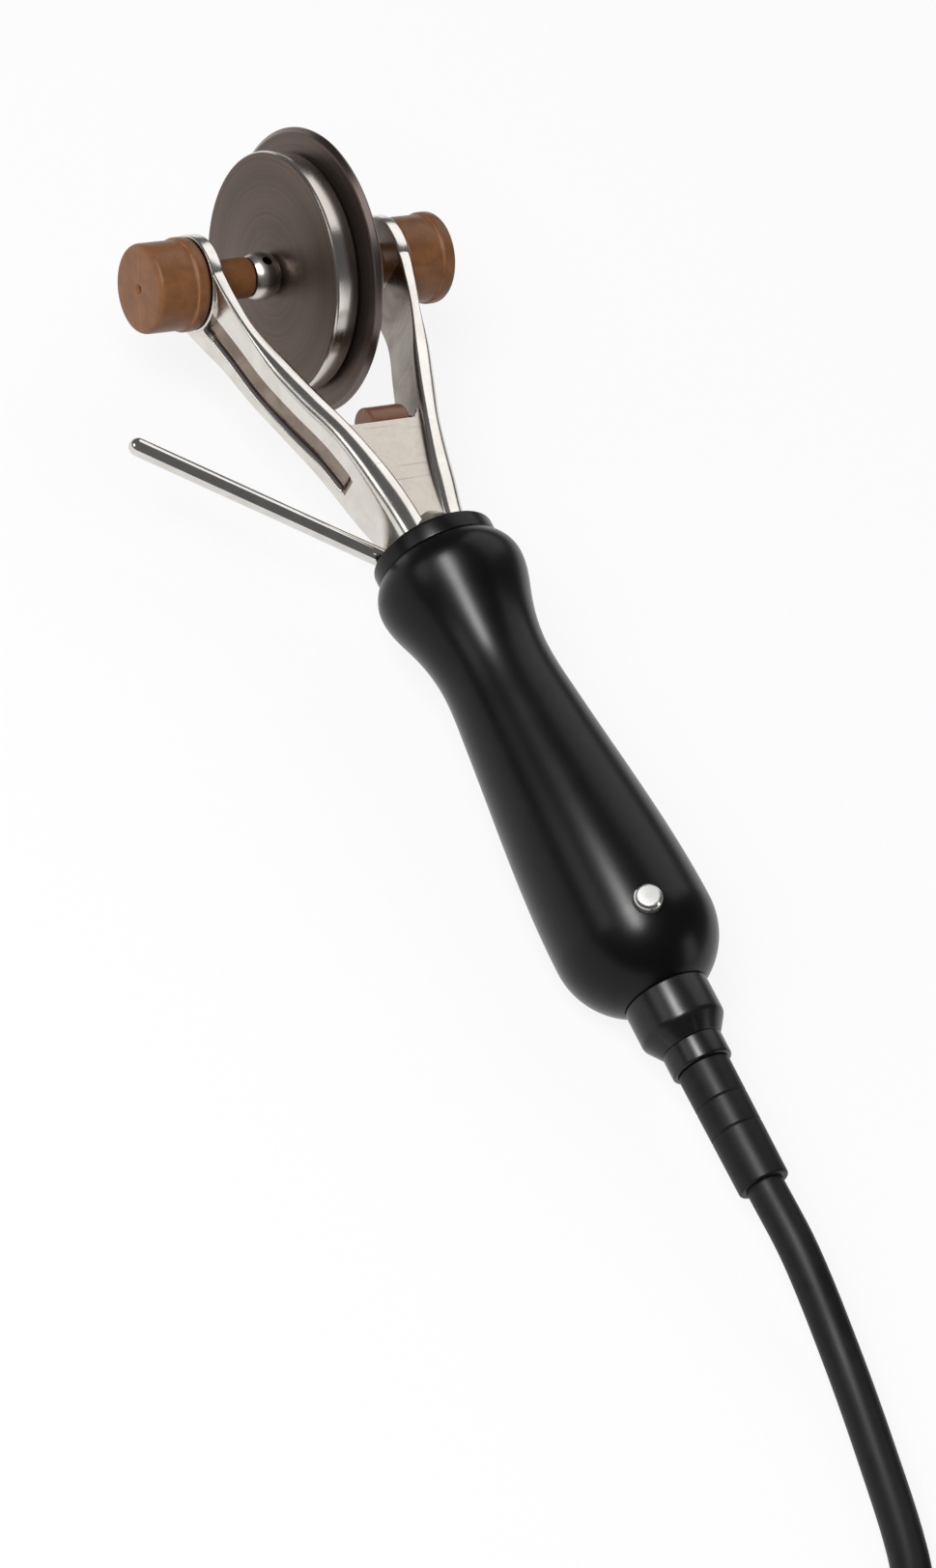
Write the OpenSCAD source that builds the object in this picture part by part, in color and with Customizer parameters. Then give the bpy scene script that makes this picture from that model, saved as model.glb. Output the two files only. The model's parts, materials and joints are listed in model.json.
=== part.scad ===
// Electric hot knife with a turning blade disc. A polished cast fork on a turned handle carries the
// wheel in two insulating bearings, a small heater in the crotch warms the blade's rim, and a push
// button in the handle switches it. Tool frame: wheel centre at zero, handle behind it, axle along Y.

/* [Wheel] */
// Diameter of the blade disc
blade_d = 63; // [60:1:72]
// Thickness of the blade disc
blade_t = 1.5; // [1.2:0.1:2]
// Width of the ground bevel on the blade's rim
bevel_w = 1.2; // [0.8:0.1:3]
// Diameter of the drum's polished rim at its face
drum_d = 54; // [48:1:58]
// Width of the drum's polished rim
drum_w = 6.2; // [5:0.1:8]
// Radius that the rim loses towards the blade
drum_taper = 0.7; // [0.2:0.1:1.2]
// Gap between the drum's rim and the blade
groove_w = 1.3; // [1:0.1:2]
// Diameter of the drum's boss in that gap
boss_d = 47; // [42:1:48]
// Diameter of the axle
axle_d = 5; // [4:0.25:5.5]
// Largest diameter of a ball collar
collar_d = 10.7; // [10:0.1:12]
// Width of a ball collar
collar_w = 6; // [5:0.1:7]

/* [Bearings] */
// Clear gap between the two eyes
eye_gap = 45; // [43:0.5:48]
// Thickness of an eye
eye_t = 3; // [2.8:0.1:3.6]
// Outer diameter of an eye
eye_d = 21.2; // [20.8:0.2:23]
// Diameter of a bush's inner sleeve
sleeve_d = 9; // [8.5:0.1:10]
// Diameter of a bush where it passes its eye
spigot_d = 7; // [6.5:0.1:7.5]
// Diameter of an end cap
cap_d = 19.6; // [18:0.2:20]
// Length of an end cap
cap_len = 12.5; // [12:0.5:16]
// Diameter of the bead round a cap
bead_d = 20.6; // [20.4:0.1:21.5]
// Width of the bead
bead_w = 3; // [2:0.1:4]
// Diameter of the oil hole in a cap
oil_d = 1.3; // [1:0.1:2]

/* [Fork] */
// Distance from the axle to the web's front edge
web_back = 46; // [45:0.5:48]
// Distance from the axle to the handle's lip
reach = 76.5; // [75:0.5:79]
// Diameter of the round neck
neck_d = 18; // [17:0.5:19]
// Diameter of the threaded tang inside the handle
tang_d = 10; // [9.5:0.25:10.5]
// Diameter of the lead bore through neck and tang
lead_bore_d = 5.6; // [5:0.1:6]
// Width of the channel along the outside of an arm
channel_w = 7; // [5:0.5:8]
// Depth of that channel
channel_depth = 1.4; // [0.6:0.1:1.5]
// Thickness of the web
web_t = 1.1; // [0.9:0.1:1.3]

/* [Guide rod] */
// Diameter of the rod
rod_d = 4; // [3.5:0.25:4]
// Diameter at the inner end of its tapered root
rod_root_d = 4.25; // [4.05:0.05:4.3]
// Length of the tapered root in front of the lip
rod_root_len = 20; // [16:1:30]
// Length of the rod in front of the lip
rod_len = 62.5; // [45:0.5:70]
// Angle between the rod and the handle's axis
rod_angle = 50; // [48:0.5:55]
// Distance from the axis to the rod at the lip
rod_side = 7; // [6.5:0.1:8]
// Distance of the rod below the axis
rod_drop = 4.3; // [4:0.1:4.5]

/* [Heater] */
// Diameter of the glazed heater body
heater_d = 8.3; // [7.5:0.1:8.5]
// Length of the heater body
heater_len = 9.5; // [8:0.5:10]
// Height of the heater above the handle's axis
heater_lift = 0.2; // [0:0.1:0.25]
// Diameter of the stud that holds it
stud_d = 2.5; // [2:0.1:3]
// Diameter of an insulated lead
lead_d = 1.4; // [1:0.1:1.6]

/* [Handle] */
// Diameter of the lip at the front
lip_d = 27.6; // [27:0.2:28.4]
// Length of the lip
lip_len = 4; // [3:0.5:5]
// Diameter of the mouth inside the lip
mouth_d = 24.6; // [24.4:0.1:25]
// Diameter of the bulb behind the lip
bulb_d = 33; // [31:0.5:35]
// Diameter of the waist
waist_d = 24.5; // [23:0.5:26]
// Diameter of the grip where it is fullest
grip_d = 34.8; // [34:0.2:36]
// Distance from the lip to the fullest place of the grip
grip_back = 99; // [97:1:105]
// Diameter of the hollow for the wiring
hollow_d = 16; // [15.8:0.1:16.4]

/* [Switch] */
// Diameter of the push button
button_d = 6; // [5.5:0.1:6.5]
// Height of the button above the handle
button_lift = 2.2; // [2:0.1:3]
// Travel of the button
button_travel = 1.5; // [1:0.1:1.7]
// Angle of the button from straight up, towards the rod's side
button_turn = 18.5; // [0:0.5:30]

/* [Cord] */
// Diameter of the gland nut
gland_d = 18.2; // [17.8:0.2:19]
// Length of the gland nut's straight part
gland_len = 8.4; // [6:0.2:10]
// Length of its cone
cone_len = 3.8; // [3:0.2:5]
// Diameter of the clamp ring
ring_d = 13; // [12.4:0.2:14]
// Length of the clamp ring
ring_len = 5.3; // [4:0.1:7]
// Diameter of the boot at the ring
boot_d = 11.2; // [10.6:0.1:11.8]
// Length of the boot behind the ring
boot_len = 27.7; // [20:0.5:34]
// Diameter of the cord
cord_d = 8; // [7.6:0.1:8]

/* [Hidden] */
$fn = 96;
// Overrun of a cut, clearance of a fixed seat, running clearance and clearance between bodies
over = 1;
fit = 0.05;
running = 0.05;
gap = 0.3;
// Which sub-part is drawn

// Radii of the named diameters
blade_r = blade_d / 2;
drum_r = drum_d / 2;
boss_r = boss_d / 2;
axle_r = axle_d / 2;
collar_r = collar_d / 2;
eye_r = eye_d / 2;
sleeve_r = sleeve_d / 2;
spigot_r = spigot_d / 2;
cap_r = cap_d / 2;
bead_r = bead_d / 2;
neck_r = neck_d / 2;
tang_r = tang_d / 2;
rod_r = rod_d / 2;
rod_root_r = rod_root_d / 2;
heater_r = heater_d / 2;
lip_r = lip_d / 2;
mouth_r = mouth_d / 2;
bulb_r = bulb_d / 2;
waist_r = waist_d / 2;
grip_r = grip_d / 2;
hollow_r = hollow_d / 2;
button_r = button_d / 2;
gland_r = gland_d / 2;
ring_r = ring_d / 2;
boot_r = boot_d / 2;
cord_r = cord_d / 2;

// Wheel: its parts stacked along the axle, centred between the eyes
wheel_w = drum_w + groove_w + blade_t;
face_y = wheel_w / 2;
rim_edge = 0.5;
screw_pitch_r = 15;
screw_r = 1.25;
screw_head_r = 2.4;
screw_head_t = 1.15;
screw_len = 5.5;
screw_count = 4;
grub_r = 1.1;
grub_hex_r = 0.7;
grub_hex_depth = 1.2;

// Bearings: eyes, bushes and caps
eye_in = eye_gap / 2;
eye_out = eye_in + eye_t;
spigot_len = 5;
cap_end = eye_out + cap_len;
cap_wall = 3;
cap_edge = 1.2;
oil_sink = 0.5;
axle_half = cap_end - cap_wall - gap;
sleeve_edge = 0.4;

// Handle: stations behind the lip
mouth_depth = 5;
tang_nut_t = 5.5;
washer_t = 1.5;
tang_over = 0.6;
hollow_back = 46;
lip_edge = 0.7;
lip_groove = 0.5;
rear = grip_back + sqrt(grip_r * grip_r - gland_r * gland_r);
tang_back = hollow_back + washer_t + tang_nut_t + tang_over;
block_back = 60;
block_len = 14;
block_w = 11.4;
block_h = 10.6;

// Fork: where the arms, the crotch and the channel lie behind the axle
heater_ahead = 2.7;
heater_back = web_back - heater_ahead;
crotch_back = heater_back + heater_r + fit;
web_z = 5.6;
arm_start = 3.9;
arm_end = reach - fit;
arm_inset = 0.12;
channel_start = 11;
channel_stop = 57;
channel_ramp = 0.9;
channel_flare = 0.6;
neck_start = 56;
neck_full = 69;
neck_start_r = 4;
web_corner_r = 2;
// Each row: share of the reach, share from neck to eye outside, share of the eye inside,
// share of the eye's radius in depth, and share of the half thickness in roundness
arm_shares = [
    [0.053, 1.00, 1.00, 0.89, 0.30], [0.136, 0.95, 0.97, 0.80, 0.35],
    [0.245, 0.84, 0.89, 0.68, 0.50], [0.381, 0.71, 0.70, 0.66, 0.75],
    [0.503, 0.52, 0.54, 0.67, 0.85], [0.639, 0.28, 0.38, 0.71, 0.90],
    [0.816, 0.10, 0.20, 0.69, 0.90], [1.000, -0.04, 0.10, 0.58, 0.90]];
arm_table = [for (s = arm_shares)
    [s[0] * reach, neck_r + s[1] * (eye_out - arm_inset - neck_r), s[2] * (eye_in + arm_inset),
     s[3] * eye_r, s[4]]];
arm_steps = 15;
corner_steps = 4;

// Rod: along its own line, rooted in the neck
rod_root = [-reach, rod_side, -rod_drop];
rod_sunk = 5.6;
rod_tip_y = rod_side + (rod_len - rod_r) * sin(rod_angle) + rod_r;

// Heater: its right end stands by the right arm
heater_y = -3.5;
stud_share = 0.85;
stud_sunk = 3;
lead_y = [-1.3, 0.6];
lead_start = heater_back + sqrt(heater_r * heater_r - pow(max(0, heater_lift - lead_d / 2), 2));
earth_z = 4;
core_d = 1.8;
core_side_share = 0.8;
core_down_share = 0.7;
core_close_share = 0.75;
core_steps = 4;

// Switch: radial stations from the handle's axis, and the button's place behind the lip
button_back = grip_back + 1;
skin_r = sqrt(grip_r * grip_r - pow(button_back - grip_back, 2));
button_top = skin_r + button_lift;
switch_neck_r = 3.9;
switch_neck_top = 10.3;
flange_r = 3.7;
flange_t = 1.4;
flange_bottom = switch_neck_top + button_travel + gap;
pocket_r = 2.3;
pocket_depth = 3.5;
stem_r = 1.2;
stem_bottom = 8.5;
switch_l = 13;
switch_rear = 3;
switch_w = 7.2;
switch_low = 5.5;
switch_high = 5;
tab_l = 3.5;
tab_w = 2.6;
tab_t = 0.8;
tab_z = 2.4;
spring_wire_r = 0.3;
spring_turns = 5;
spring_rings = 12;
button_edge = 0.7;

// Gland, ring and boot, one behind the other
gland_spigot = 5;
gland_spigot_r = hollow_r - fit;
gland_edge = 0.6;
ring_edge = 0.9;
boot_spigot_r = 5;
boot_spigot_len = 4.8;
boot_taper = 0.2;
boot_edge = 1.2;
boot_groove = 0.25;
boot_groove_shares = [0.3, 0.55];
nut_back = rear + gland_len;
cone_back = nut_back + cone_len;
ring_back = cone_back + ring_len;
boot_back = ring_back + boot_len;
cord_inside = rear - gland_spigot - gap;

// The tool lies on blade and grip, with the box of the tool centred over zero
pitch = asin((blade_r - grip_r) / (reach + grip_back));
tail = reach + boot_back;
low_x = -tail * cos(pitch) - (boot_r - boot_taper - boot_edge) * sin(pitch);
lay_x = -(blade_r + low_x) / 2;
lay_y = -(rod_tip_y - cap_end) / 2;

// Free cord: route on the floor, chosen by hand, from the boot to the coil
cord_exit = [lay_x - tail * cos(pitch), lay_y, blade_r - tail * sin(pitch)];
cord_along = [-cos(pitch), 0, -sin(pitch)];
cord_lead_in = 16;
cord_route = [[-169, -8.8, 6.2], [-190, -5.2, 4.7], [-212, 0.6, 4.6], [-226, 7, 4.7],
              [-239, 12.7, 4.9]];
cord_sides = 8;
cord_steps = 6;
// Coil: first layer spirals in, climbs where it turns, second layer spirals out
coil_at = [-260, -44, 5];
coil_r = 58;
coil_room = 0.5;
coil_pitch = cord_d + coil_room;
coil_turns = 6;
coil_low_turns = 3.5;
coil_climb = 0.25;
coil_sides = 6;
coil_rings = 24;
// Room where the pieces of the cord meet at a slight angle
cord_join = 0.6;
// Tail from the coil to the plug, which lies on the coil
tail_route = [[-280, 4.6, 14.2], [-292, -0.5, 17], [-301, -11, 21.4], [-303.2, -22.5, 26.2],
              [-302, -33.5, 29.1]];
tie_turn = -60;
tie_w = 12;
tie_t = 0.7;
tie_room = 1;
plug_l = 34;
plug_w = 27;
plug_h = 24;
plug_at = [-301, -44, coil_at[2] + coil_pitch + cord_r + gap + plug_h / 2];
plug_neck_l = 12;
plug_neck_r = 6.5;
plug_edge = 4;
plug_grip_share = 1.4;
blade_pin = [17, 1.5, 6.3];
blade_pitch = 12.7;
earth_pin_d = 4.8;
earth_pin_l = 20;
earth_pin_drop = 6.5;

function mix(a, b, u) = a + (b - a) * u;
function unit(v) = v / norm(v);
function herm(a, b, ta, tb, u) =
    a * (2 * u * u * u - 3 * u * u + 1) + ta * (u * u * u - 2 * u * u + u)
    + b * (3 * u * u - 2 * u * u * u) + tb * (u * u * u - u * u);
function slope(k, c, i) =
    i == 0 || i == len(k) - 1 ? 0 : (k[i + 1][c] - k[i - 1][c]) / (k[i + 1][0] - k[i - 1][0]);
function seek(k, b, i = 0) = i >= len(k) - 2 || b < k[i + 1][0] ? i : seek(k, b, i + 1);
// Smooth value of column c of a table at station b
function at(k, c, b) =
    let (i = seek(k, b), l = k[i + 1][0] - k[i][0], u = (b - k[i][0]) / l)
    herm(k[i][c], k[i + 1][c], slope(k, c, i) * l, slope(k, c, i + 1) * l, u);
// Round corner of a profile: centre, radius and two angles
function arc(c, r, a, b, n) = [for (i = [0:n]) let (t = mix(a, b, i / n)) c + r * [cos(t), sin(t)]];
// Triangles of a loft of m rings with n points
function loft_faces(m, n) = concat(
    [[for (j = [n - 1:-1:0]) j]],
    [for (i = [0:m - 2]) for (j = [0:n - 1]) [i * n + j, i * n + (j + 1) % n, (i + 1) * n + j]],
    [for (i = [0:m - 2]) for (j = [0:n - 1])
        [i * n + (j + 1) % n, (i + 1) * n + (j + 1) % n, (i + 1) * n + j]],
    [[for (j = [0:n - 1]) (m - 1) * n + j]]);
function heading(p, i) = unit(p[min(i + 1, len(p) - 1)] - p[max(i - 1, 0)]);
function ring(p, t, r, n) =
    let (s = unit(cross(t, [0, 0, 1])), u = cross(s, t))
    [for (k = [0:n - 1]) p + r * (cos(360 * k / n) * s + sin(360 * k / n) * u)];
// Points of a smooth line through a list of points
function bend(p, i, u) =
    let (a = p[i], b = p[i + 1], l = norm(b - a), ta = l * unit(b - p[max(i - 1, 0)]),
         tb = l * unit(p[min(i + 2, len(p) - 1)] - a))
    herm(a, b, ta, tb, u);
function smooth(p, n) =
    concat([for (i = [0:len(p) - 2]) for (k = [0:n - 1]) bend(p, i, k / n)], [p[len(p) - 1]]);

module tube(path, r, n) {
    polyhedron(
        points = [for (i = [0:len(path) - 1]) each ring(path[i], heading(path, i), r, n)],
        faces = loft_faces(len(path), n));
}
// Local z runs back along the handle from the lip
module behind(a) {
    translate([-reach - a, 0, 0])
        rotate([0, -90, 0])
            children();
}
// Local z runs along the axle
module along_axle(y) {
    translate([0, y, 0])
        rotate([-90, 0, 0])
            children();
}
// Local z is the button's axis, out of the handle
module at_switch() {
    rotate([-button_turn, 0, 0])
        translate([-reach - button_back, 0, 0])
            children();
}
module lay() {
    translate([lay_x, lay_y, blade_r])
        rotate([0, -pitch, 0])
            children();
}

// Wheel
module axle() {
    color("#8f8f8d")
        along_axle(-axle_half)
            rotate_extrude()
                polygon([[0, 0], [axle_r - rim_edge, 0], [axle_r, rim_edge],
                         [axle_r, 2 * axle_half - rim_edge], [axle_r - rim_edge, 2 * axle_half],
                         [0, 2 * axle_half]]);
}
module screw_ring() {
    for (i = [0:screw_count - 1])
        rotate([0, 0, 360 * (i + 0.5) / screw_count])
            translate([screw_pitch_r, 0, 0])
                children();
}
module drum() {
    back_r = drum_r - drum_taper;
    color("#5c534d")
        difference() {
            along_axle(face_y - drum_w - groove_w)
                rotate_extrude()
                    polygon([[axle_r + fit, 0], [boss_r, 0], [boss_r, groove_w],
                             [back_r - rim_edge, groove_w], [back_r, groove_w + rim_edge],
                             [drum_r, groove_w + drum_w - rim_edge],
                             [drum_r - rim_edge, groove_w + drum_w],
                             [axle_r + fit, groove_w + drum_w]]);
            along_axle(-face_y)
                screw_ring()
                    cylinder(r = screw_r + fit, h = screw_len + gap);
        }
}
module blade_disc() {
    edge_t = blade_t / 3;
    color("#4d4a48")
        difference() {
            along_axle(-face_y)
                rotate_extrude()
                    polygon([[axle_r + fit, 0], [blade_r, 0], [blade_r, edge_t],
                             [blade_r - bevel_w, blade_t - fit], [axle_r + fit, blade_t - fit]]);
            along_axle(-face_y)
                screw_ring() {
                    translate([0, 0, -over])
                        cylinder(r = screw_r + fit, h = blade_t + 2 * over);
                    translate([0, 0, -fit])
                        cylinder(r1 = screw_head_r + fit, r2 = screw_r + fit, h = screw_head_t + fit);
                }
        }
}
module clamp_screws() {
    color("#9a9a98")
        along_axle(-face_y)
            screw_ring()
                difference() {
                    union() {
                        cylinder(r1 = screw_head_r, r2 = screw_r, h = screw_head_t);
                        cylinder(r = screw_r, h = screw_len);
                    }
                    translate([0, 0, -over])
                        cylinder(r = grub_hex_r, h = over + screw_head_t / 2, $fn = 6);
                }
}
module collar(y) {
    difference() {
        translate([0, y, 0])
            intersection() {
                sphere(r = collar_r);
                cube([collar_d + over, collar_w - fit, collar_d + over], center = true);
            }
        along_axle(-axle_half)
            cylinder(r = axle_r + fit, h = 2 * axle_half);
        translate([0, y, 0])
            cylinder(r = grub_r + fit, h = collar_r + over);
    }
}
module left_collar() {
    color("#a7a49f")
        collar(face_y + collar_w / 2);
}
module right_collar() {
    color("#a7a49f")
        collar(-face_y - collar_w / 2);
}
module collar_screws() {
    color("#6f6f6e")
        for (side = [-1, 1])
            translate([0, side * (face_y + collar_w / 2), 0])
                difference() {
                    translate([0, 0, axle_r + fit])
                        cylinder(r = grub_r, h = collar_r - axle_r - gap);
                    translate([0, 0, collar_r - gap - grub_hex_depth])
                        cylinder(r = grub_hex_r, h = grub_hex_depth + over, $fn = 6);
                }
}

// Bearings
module bush() {
    start = face_y + collar_w + gap;
    color("#82583e")
        along_axle(start)
            rotate_extrude()
                polygon([[axle_r + running, 0], [sleeve_r - sleeve_edge, 0], [sleeve_r, sleeve_edge],
                         [sleeve_r, eye_in - start], [spigot_r, eye_in - start],
                         [spigot_r, eye_out + spigot_len - start],
                         [axle_r + running, eye_out + spigot_len - start]]);
}
module left_bush() {
    bush();
}
module right_bush() {
    mirror([0, 1, 0])
        bush();
}
// End cap on its eye; the bead lies at one end of it
module cap(bead_start) {
    foot = bead_start > 0 ? cap_r : bead_r;
    head = bead_start > 0 ? bead_r : cap_r;
    color("#82583e")
        along_axle(eye_out)
            difference() {
                rotate_extrude()
                    polygon(concat(
                        [[0, 0]], arc([foot - cap_edge, cap_edge], cap_edge, -90, 0, corner_steps),
                        bead_start > 0
                        ? [[cap_r, bead_start - bead_r + cap_r], [bead_r, bead_start]]
                        : [[bead_r, bead_w], [cap_r, bead_w + bead_r - cap_r]],
                        arc([head - cap_edge, cap_len - cap_edge], cap_edge, 0, 90, corner_steps),
                        [[0, cap_len]]));
                translate([0, 0, -over])
                    cylinder(r = spigot_r + fit, h = spigot_len + fit + over);
                translate([0, 0, spigot_len - over])
                    cylinder(r = axle_r + running, h = cap_len - cap_wall - spigot_len + over);
                cylinder(r = oil_d / 2, h = cap_len + over);
                translate([0, 0, cap_len - oil_sink])
                    cylinder(r1 = oil_d / 2, r2 = oil_d / 2 + oil_sink + fit, h = oil_sink + fit);
            }
}
module left_cap() {
    cap(0);
}
module right_cap() {
    mirror([0, 1, 0])
        cap(cap_len - bead_w);
}

// Fork
function channel(b) = channel_depth * min(1, max(0, (b - channel_start) / channel_ramp))
    * min(1, max(0, (channel_stop - b) / channel_ramp));
// Outline of an arm at station b: four round corners and the channel on the outside
function arm_ring(b) =
    let (o = at(arm_table, 1, b), i = at(arm_table, 2, b), z = at(arm_table, 3, b),
         r = at(arm_table, 4, b) * (o - i) / 2, w = channel_w / 2, d = channel(b),
         loop = concat(
             arc([o - r, z - r], r, 0, 90, corner_steps),
             arc([i + r, z - r], r, 90, 180, corner_steps),
             arc([i + r, r - z], r, 180, 270, corner_steps),
             arc([o - r, r - z], r, 270, 360, corner_steps),
             [[o, -w], [o - d, channel_flare - w], [o - d, w - channel_flare], [o, w]]))
    [for (p = loop) [-b, p[0], p[1]]];
channel_span = [channel_start + channel_ramp, channel_stop - channel_ramp];
arm_stations = concat(
    [for (i = [0:2]) mix(arm_start, channel_start, i / 2)],
    [for (i = [0:arm_steps]) mix(channel_span[0], channel_span[1], i / arm_steps)],
    [for (i = [0:4]) mix(channel_stop, arm_end, i / 4)]);
module arm() {
    rings = [for (b = arm_stations) arm_ring(b)];
    polyhedron(points = [for (s = rings) each s], faces = loft_faces(len(rings), len(rings[0])));
}
// Web between the arms, with round inner corners at its front edge
module web_plan() {
    inside = at(arm_table, 2, web_back);
    deep = at(arm_table, 2, neck_full) + over;
    difference() {
        polygon([[-web_back + web_corner_r, -inside - over], [-web_back + web_corner_r, inside + over],
                 [-neck_full, deep], [-neck_full, -deep]]);
        translate([-web_back, -inside + web_corner_r])
            square([web_corner_r + over, 2 * (inside - web_corner_r)]);
        for (side = [-1, 1])
            translate([-web_back + web_corner_r, side * (inside - web_corner_r)])
                circle(r = web_corner_r);
    }
}
module crotch_plan() {
    wide = at(arm_table, 2, crotch_back) + over;
    deep = at(arm_table, 2, neck_full) + over;
    polygon([[-crotch_back, -wide], [-crotch_back, wide], [-neck_full, deep], [-neck_full, -deep]]);
}
module fork() {
    color("#b9b6b1")
        difference() {
            union() {
                for (side = [0, 1])
                    mirror([0, side, 0]) {
                        arm();
                        along_axle(eye_in)
                            cylinder(r = eye_r, h = eye_t);
                    }
                translate([0, 0, web_z - web_t])
                    linear_extrude(height = web_t)
                        web_plan();
                translate([0, 0, web_t - web_z])
                    linear_extrude(height = 2 * (web_z - web_t) + web_t / 2)
                        crotch_plan();
                behind(neck_start - reach)
                    rotate_extrude()
                        polygon([[0, 0], [neck_start_r, 0], [neck_r, neck_full - neck_start],
                                 [neck_r, reach + mouth_depth - fit - neck_start],
                                 [tang_r, reach + mouth_depth - fit - neck_start],
                                 [tang_r, reach + tang_back - neck_start],
                                 [0, reach + tang_back - neck_start]]);
            }
            along_axle(-eye_out - over)
                cylinder(r = spigot_r + fit, h = 2 * (eye_out + over));
            behind(web_back - reach)
                cylinder(r = lead_bore_d / 2, h = reach + tang_back);
            along_rod(-rod_sunk)
                cylinder(r1 = rod_root_r + fit, r2 = rod_r + fit, h = rod_sunk + rod_root_len);
            translate([-heater_back, 0, heater_lift])
                along_axle(-at(arm_table, 2, heater_back) - stud_sunk)
                    cylinder(r = stud_d / 2 + fit, h = 2 * stud_sunk);
        }
}
// Local z runs out along the guide rod, from the lip's plane
module along_rod(a) {
    translate(rod_root)
        rotate([0, 0, rod_angle])
            rotate([0, 90, 0])
                translate([0, 0, a])
                    children();
}
module guide_rod() {
    color("#c9c7c3")
        along_rod(0) {
            translate([0, 0, fit - rod_sunk])
                cylinder(r1 = rod_root_r, r2 = rod_r, h = rod_sunk - fit + rod_root_len);
            translate([0, 0, rod_root_len])
                cylinder(r = rod_r, h = rod_len - rod_r - rod_root_len);
            translate([0, 0, rod_len - rod_r])
                sphere(r = rod_r);
        }
}

// Heater
module heater_body() {
    deep = heater_len * stud_share;
    wide = heater_r - rim_edge;
    color("#7a4f35")
        translate([-heater_back, heater_y, heater_lift])
            along_axle(-heater_len / 2)
                rotate_extrude()
                    polygon(concat(
                        [[stud_d / 2 + fit, 0]],
                        arc([wide, rim_edge], rim_edge, -90, 0, corner_steps),
                        arc([wide, heater_len - rim_edge], rim_edge, 0, 90, corner_steps),
                        [[0, heater_len], [0, deep], [stud_d / 2 + fit, deep]]));
}
module heater_stud() {
    start = -at(arm_table, 2, heater_back) - stud_sunk + fit;
    end = heater_y - heater_len / 2 + heater_len * stud_share - fit;
    color("#8b8a88")
        translate([-heater_back, 0, heater_lift])
            along_axle(start)
                cylinder(r = stud_d / 2, h = end - start);
}
module heater_leads() {
    color("#d8d2c4")
        for (y = lead_y)
            translate([0, y, 0])
                behind(lead_start - reach + fit)
                    cylinder(r = lead_d / 2, h = reach + block_back - lead_start - 2 * fit);
}

// Handle and what it holds
// Shares of the way to the fullest place where bulb, shoulder, waist and flank lie, shares of the
// swelling there, and slopes of the outline
knot_shares = [0.102, 0.182, 0.33, 0.47];
shoulder_share = 0.59;
flank_share = 0.2;
lip_slope = 0.85;
shoulder_slope = -0.33;
flank_slope = 0.095;
handle_knots = [
    [lip_len + lip_groove, lip_r + lip_groove, lip_slope], [knot_shares[0] * grip_back, bulb_r, 0],
    [knot_shares[1] * grip_back, mix(waist_r, bulb_r, shoulder_share), shoulder_slope],
    [knot_shares[2] * grip_back, waist_r, 0],
    [knot_shares[3] * grip_back, mix(waist_r, grip_r, flank_share), flank_slope], [grip_back, grip_r, 0]];
handle_steps = 9;
function swell(k, n) = [for (i = [0:len(k) - 2]) for (j = [0:n - 1])
    let (l = k[i + 1][0] - k[i][0], u = j / n)
    [herm(k[i][1], k[i + 1][1], k[i][2] * l, k[i + 1][2] * l, u), mix(k[i][0], k[i + 1][0], u)]];
module handle() {
    color("#151516")
        difference() {
            behind(0)
                rotate_extrude()
                    polygon(concat(
                        [[0, 0]], arc([lip_r - lip_edge, lip_edge], lip_edge, -90, 0, corner_steps),
                        [[lip_r, lip_len], [lip_r - lip_groove, lip_len + lip_groove / 2]],
                        swell(handle_knots, handle_steps),
                        arc([0, grip_back], grip_r, 0, acos(gland_r / grip_r), 2 * handle_steps),
                        [[0, rear]]));
            behind(-over)
                cylinder(r = mouth_r, h = mouth_depth + over);
            behind(0)
                cylinder(r = tang_r + fit, h = hollow_back + over);
            behind(hollow_back)
                cylinder(r = hollow_r, h = rear);
            at_switch() {
                cylinder(r = switch_neck_r + fit, h = flange_bottom + flange_t + fit);
                cylinder(r = button_r + running, h = button_top + over);
            }
        }
}
module tang_washer() {
    color("#a0a09e")
        behind(hollow_back)
            difference() {
                cylinder(r = hollow_r - gap, h = washer_t);
                translate([0, 0, -over])
                    cylinder(r = tang_r + fit, h = washer_t + 2 * over);
            }
}
module tang_nut() {
    color("#a9a9a7")
        behind(hollow_back + washer_t)
            difference() {
                cylinder(r = hollow_r - gap, h = tang_nut_t, $fn = 6);
                translate([0, 0, -over])
                    cylinder(r = tang_r + fit, h = tang_nut_t + 2 * over);
            }
}
module terminal_block() {
    color("#ddd8cc")
        difference() {
            behind(block_back)
                translate([-block_h / 2, -block_w / 2, 0])
                    cube([block_h, block_w, block_len]);
            for (y = [-1, 1])
                translate([-reach - block_back - block_len / 2, y * block_w / 4, 0])
                    cylinder(r = grub_r, h = block_h);
        }
}
module earth_lead() {
    color("#3f7a3f")
        translate([0, 0, -earth_z])
            behind(tang_back + fit)
                cylinder(r = lead_d / 2, h = block_back - tang_back - 2 * fit);
}
module switch_body() {
    color("#2b2b2d")
        at_switch()
            difference() {
                union() {
                    translate([-switch_rear, -switch_w / 2, -switch_low])
                        cube([switch_l, switch_w, switch_low + switch_high]);
                    cylinder(r = switch_neck_r, h = switch_neck_top);
                }
                cylinder(r = stem_r + running, h = switch_neck_top + over);
            }
}
module switch_tabs() {
    color("#b58b3d")
        at_switch()
            for (z = [-tab_z, tab_z])
                translate([switch_l - switch_rear + fit, -tab_w / 2, z - tab_t / 2])
                    cube([tab_l, tab_w, tab_t]);
}
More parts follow.
